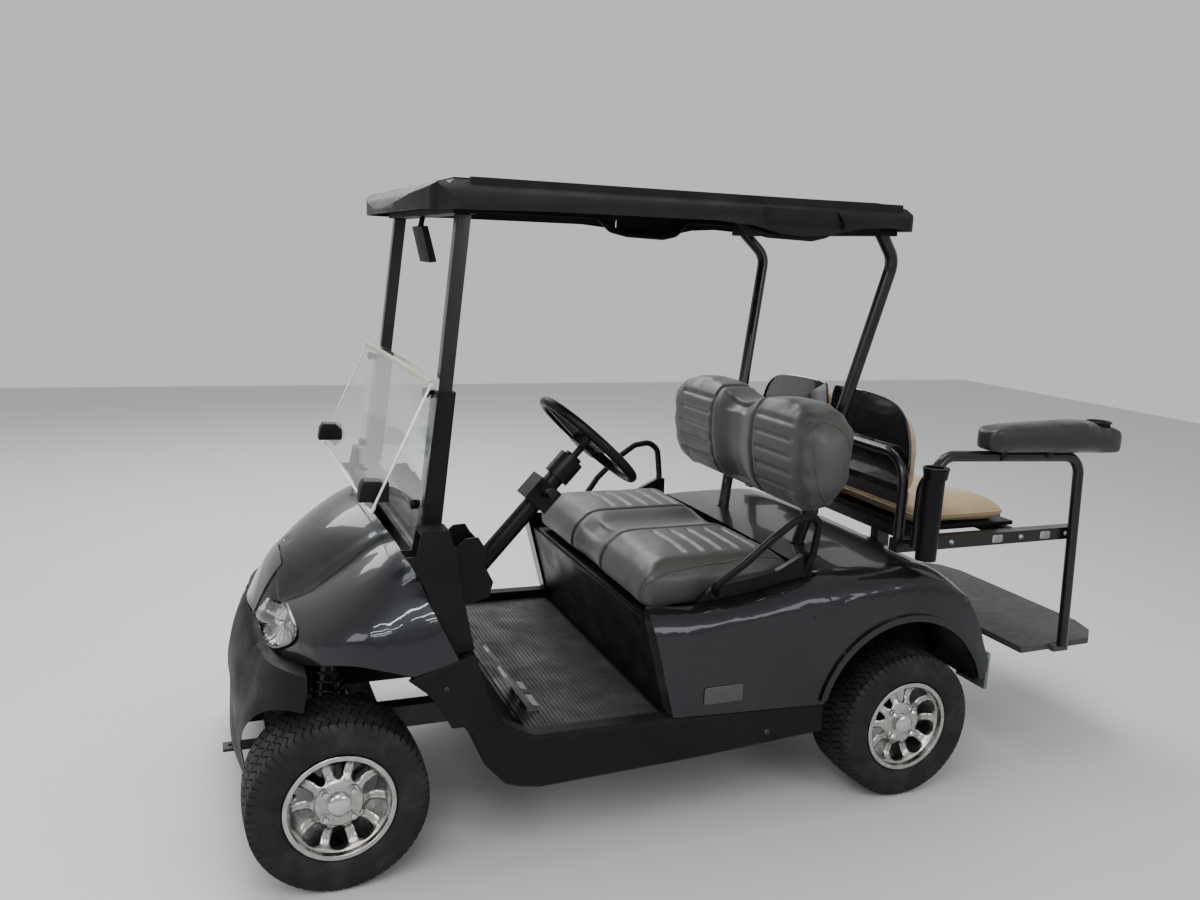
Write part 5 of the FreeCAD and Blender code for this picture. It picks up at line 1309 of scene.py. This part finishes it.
def dress_armrest_cup():
    """The cup holder's rim on the armrest and the clamps that hold it to the grab rail."""
    low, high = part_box("armrest")
    cup_x, cup_y, reach = low.x + 0.086, (low.y + high.y) / 2, 0.05
    top = max(surface("armrest", (cup_x + reach * math.cos(turn), cup_y + reach * math.sin(turn), 2.0),
                      (0, 0, -1)).z for turn in (1.2, 1.9, 4.4, 5.1))
    spot = Vector((cup_x, cup_y, top - CUP_SUNK))
    ring = [(0.012, 0.041), (0.0145, 0.0405), (0.0165, 0.038), (0.0165, 0.035), (0.0135, 0.0335),
            (-0.03, 0.032), (-0.03, 0.0345), (0.009, 0.0365)]
    points, faces = revolved(ring, 48)
    turn = Matrix(((1, 0, 0, 0), (0, 0, 1, 0), (0, 1, 0, 0), (0, 0, 0, 1)))
    make_piece("cup_rim", *turned((points, faces), Matrix.Translation(spot) @ turn), "satin_plastic")
    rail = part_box("grab_rails")[1]
    clamps = []
    clamp = lathe([(-0.012, 0.0215), (-0.01, 0.023), (0.01, 0.023), (0.012, 0.0215)], 24)
    for x in CLAMPS_X:
        clamps.append(turned(clamp, facing((x, cup_y, rail.z - 0.017), (1, 0, 0))))
    make_piece("armrest_clamps", *joined(clamps), "satin_plastic")


def dress_frame():
    """The steel under and behind the body."""
    finished("black_steel", "chassis_frame", "cross_members", "frame_brackets", "rear_posts",
             "back_brackets", "rear_seat_frame", "grab_rails", "rear_axle", "rear_springs", "lower_arms",
             "front_struts", "drive_motor", "steering_rack")
    finished("bare_steel", "tie_rods", "knuckle_left", "knuckle_right", "pedals")
    finished("lamp_red", "tail_lamps")
    finished("mudflap_rubber", "mudflaps")
    finished("mat_rubber", "floor_mat")
    finished("satin_plastic", "steering_wheel")


FLOOR_REACH = 9.0
SKY = (0.88, 0.89, 0.9, 1.0)
SKY_STRENGTH = 0.75
# Soft lights: name, place, size and power
LIGHTS = [("overhead", (0.4, -0.4, 4.2), (3.0, 2.0), 120), ("front", (4.6, 2.4, 2.8), (2.0, 2.0), 60),
          ("side", (-1.6, 4.6, 2.6), (2.4, 1.4), 50), ("far", (1.2, -4.6, 4.3), (5.0, 1.8), 230)]
LIGHTS += [(f"strip_{k}", (1.5 + 0.25 * k, 1.9 + 0.75 * k, 2.9 + 0.1 * k), (1.5, 0.06), 14)
           for k in range(4)]
LIT_SPOT = Vector((0.4, 0, 0.6))


def set_stage(colours):
    """Pale floor, soft lights, and the camera where the photograph was taken."""
    scene = bpy.context.scene
    mesh = bpy.data.meshes.new("studio_floor")
    corners = [(x * FLOOR_REACH, y * FLOOR_REACH, 0) for x, y in ((-1, -1), (1, -1), (1, 1), (-1, 1))]
    mesh.from_pydata(corners, [], [(0, 1, 2, 3)])
    floor = bpy.data.objects.new("studio_floor", mesh)
    scene.collection.objects.link(floor)
    pale = Finish("studio_floor", colours.floor, 0.55)
    pale.wear(pale.noise(2.0, 3.0), 0.5, 0.62)
    mesh.materials.append(pale.material)
    world = bpy.data.worlds.new("studio")
    world.use_nodes = True
    background = world.node_tree.nodes["Background"]
    background.inputs["Color"].default_value = SKY
    background.inputs["Strength"].default_value = SKY_STRENGTH
    scene.world = world
    for light in LIGHTS:
        add_light(*light)
    set_camera()


def add_light(name, place, size, power):
    """A soft rectangular light, turned towards the cart."""
    light = bpy.data.lights.new(name, "AREA")
    light.shape = "RECTANGLE"
    light.size, light.size_y = size
    light.energy = power
    lamp = bpy.data.objects.new(name, light)
    lamp.location = place
    lamp.rotation_mode = "QUATERNION"
    lamp.rotation_quaternion = (LIT_SPOT - Vector(place)).to_track_quat("-Z", "Y")
    bpy.context.scene.collection.objects.link(lamp)


CAMERA_PLACE = (1.4957, 2.943, 1.6097)
CAMERA_TURN = math.radians(248.0943)
CAMERA_TILT = math.radians(-10.89)
CAMERA_ROLL = math.radians(2.3593)
CAMERA_LENS = 30.74


def set_camera():
    """The photograph's camera, worked out from its perspective."""
    camera = bpy.data.cameras.new("photo_camera")
    camera.lens = CAMERA_LENS
    camera.sensor_width = 36.0
    rig = bpy.data.objects.new("photo_camera", camera)
    bpy.context.scene.collection.objects.link(rig)
    level = math.cos(CAMERA_TILT)
    ahead = Vector((math.cos(CAMERA_TURN) * level, math.sin(CAMERA_TURN) * level, math.sin(CAMERA_TILT)))
    right = ahead.cross(Vector((0, 0, 1))).normalized()
    up = right.cross(ahead)
    across = right * math.cos(CAMERA_ROLL) + up * math.sin(CAMERA_ROLL)
    above = up * math.cos(CAMERA_ROLL) - right * math.sin(CAMERA_ROLL)
    turn = Matrix((across, above, -ahead)).transposed().to_4x4()
    rig.matrix_world = Matrix.Translation(CAMERA_PLACE) @ turn
    bpy.context.scene.camera = rig


class CART_OT_finishes(bpy.types.Operator):
    """Makes every finish of the cart"""
    bl_idname = "cart.finishes"
    bl_label = "Finishes"

    def execute(self, context):
        make_finishes(context.scene.cart_colours)
        return {"FINISHED"}


class CART_OT_wheels(bpy.types.Operator):
    """Makes the tyres, alloy wheels and hub trim"""
    bl_idname = "cart.wheels"
    bl_label = "Wheels"

    def execute(self, context):
        dress_wheels(context.scene.cart_sizes)
        return {"FINISHED"}


class CART_OT_front_seats(bpy.types.Operator):
    """Makes the front bench cushion and back"""
    bl_idname = "cart.front_seats"
    bl_label = "Front seats"

    def execute(self, context):
        dress_front_cushion(context.scene.cart_sizes)
        dress_front_back(context.scene.cart_sizes)
        return {"FINISHED"}


class CART_OT_rear_seats(bpy.types.Operator):
    """Makes the rear bench's soft pieces and the armrest"""
    bl_idname = "cart.rear_seats"
    bl_label = "Rear seats"

    def execute(self, context):
        dress_rear_seats(context.scene.cart_sizes)
        return {"FINISHED"}


class CART_OT_body(bpy.types.Operator):
    """Finishes the painted and moulded body pieces"""
    bl_idname = "cart.body"
    bl_label = "Body"

    def execute(self, context):
        dress_body()
        return {"FINISHED"}


class CART_OT_frame(bpy.types.Operator):
    """Finishes the steel frame, axles and controls"""
    bl_idname = "cart.frame"
    bl_label = "Frame and running gear"

    def execute(self, context):
        dress_frame()
        return {"FINISHED"}


class CART_OT_headlamps(bpy.types.Operator):
    """Makes the headlamps"""
    bl_idname = "cart.headlamps"
    bl_label = "Headlamps"

    def execute(self, context):
        dress_headlamps()
        return {"FINISHED"}


class CART_OT_trim(bpy.types.Operator):
    """Makes bolts, blank plates, mat ribs, coils and other small fittings"""
    bl_idname = "cart.trim"
    bl_label = "Trim"

    def execute(self, context):
        dress_trim()
        return {"FINISHED"}


class CART_OT_stage(bpy.types.Operator):
    """Makes the floor, lights and camera"""
    bl_idname = "cart.stage"
    bl_label = "Stage"

    def execute(self, context):
        set_stage(context.scene.cart_colours)
        return {"FINISHED"}


OPERATORS = (CART_OT_finishes, CART_OT_wheels, CART_OT_front_seats, CART_OT_rear_seats, CART_OT_body,
             CART_OT_frame, CART_OT_headlamps, CART_OT_trim, CART_OT_stage)


class CART_PT_dressing(bpy.types.Panel):
    """The cart's sizes, colours and pieces in the sidebar"""
    bl_label = "Golf Cart"
    bl_space_type = "VIEW_3D"
    bl_region_type = "UI"
    bl_category = "Golf Cart"

    def draw(self, context):
        for group in (context.scene.cart_sizes, context.scene.cart_colours):
            for name in group.bl_rna.properties.keys():
                if name not in ("rna_type", "name"):
                    self.layout.prop(group, name)
        for operator in OPERATORS:
            self.layout.operator(operator.bl_idname)


CLASSES = (CartSizes, CartColours, *OPERATORS, CART_PT_dressing)


def register():
    """Adds the cart's classes and settings."""
    for each in CLASSES:
        bpy.utils.register_class(each)
    bpy.types.Scene.cart_sizes = bpy.props.PointerProperty(type=CartSizes)
    bpy.types.Scene.cart_colours = bpy.props.PointerProperty(type=CartColours)


def unregister():
    """Takes the cart's classes and settings away."""
    del bpy.types.Scene.cart_colours
    del bpy.types.Scene.cart_sizes
    for each in reversed(CLASSES):
        bpy.utils.unregister_class(each)


def main():
    """Dresses the cart."""
    register()
    for operator in OPERATORS:
        group, name = operator.bl_idname.split(".")
        getattr(getattr(bpy.ops, group), name)()


if __name__ == "__main__":
    main()
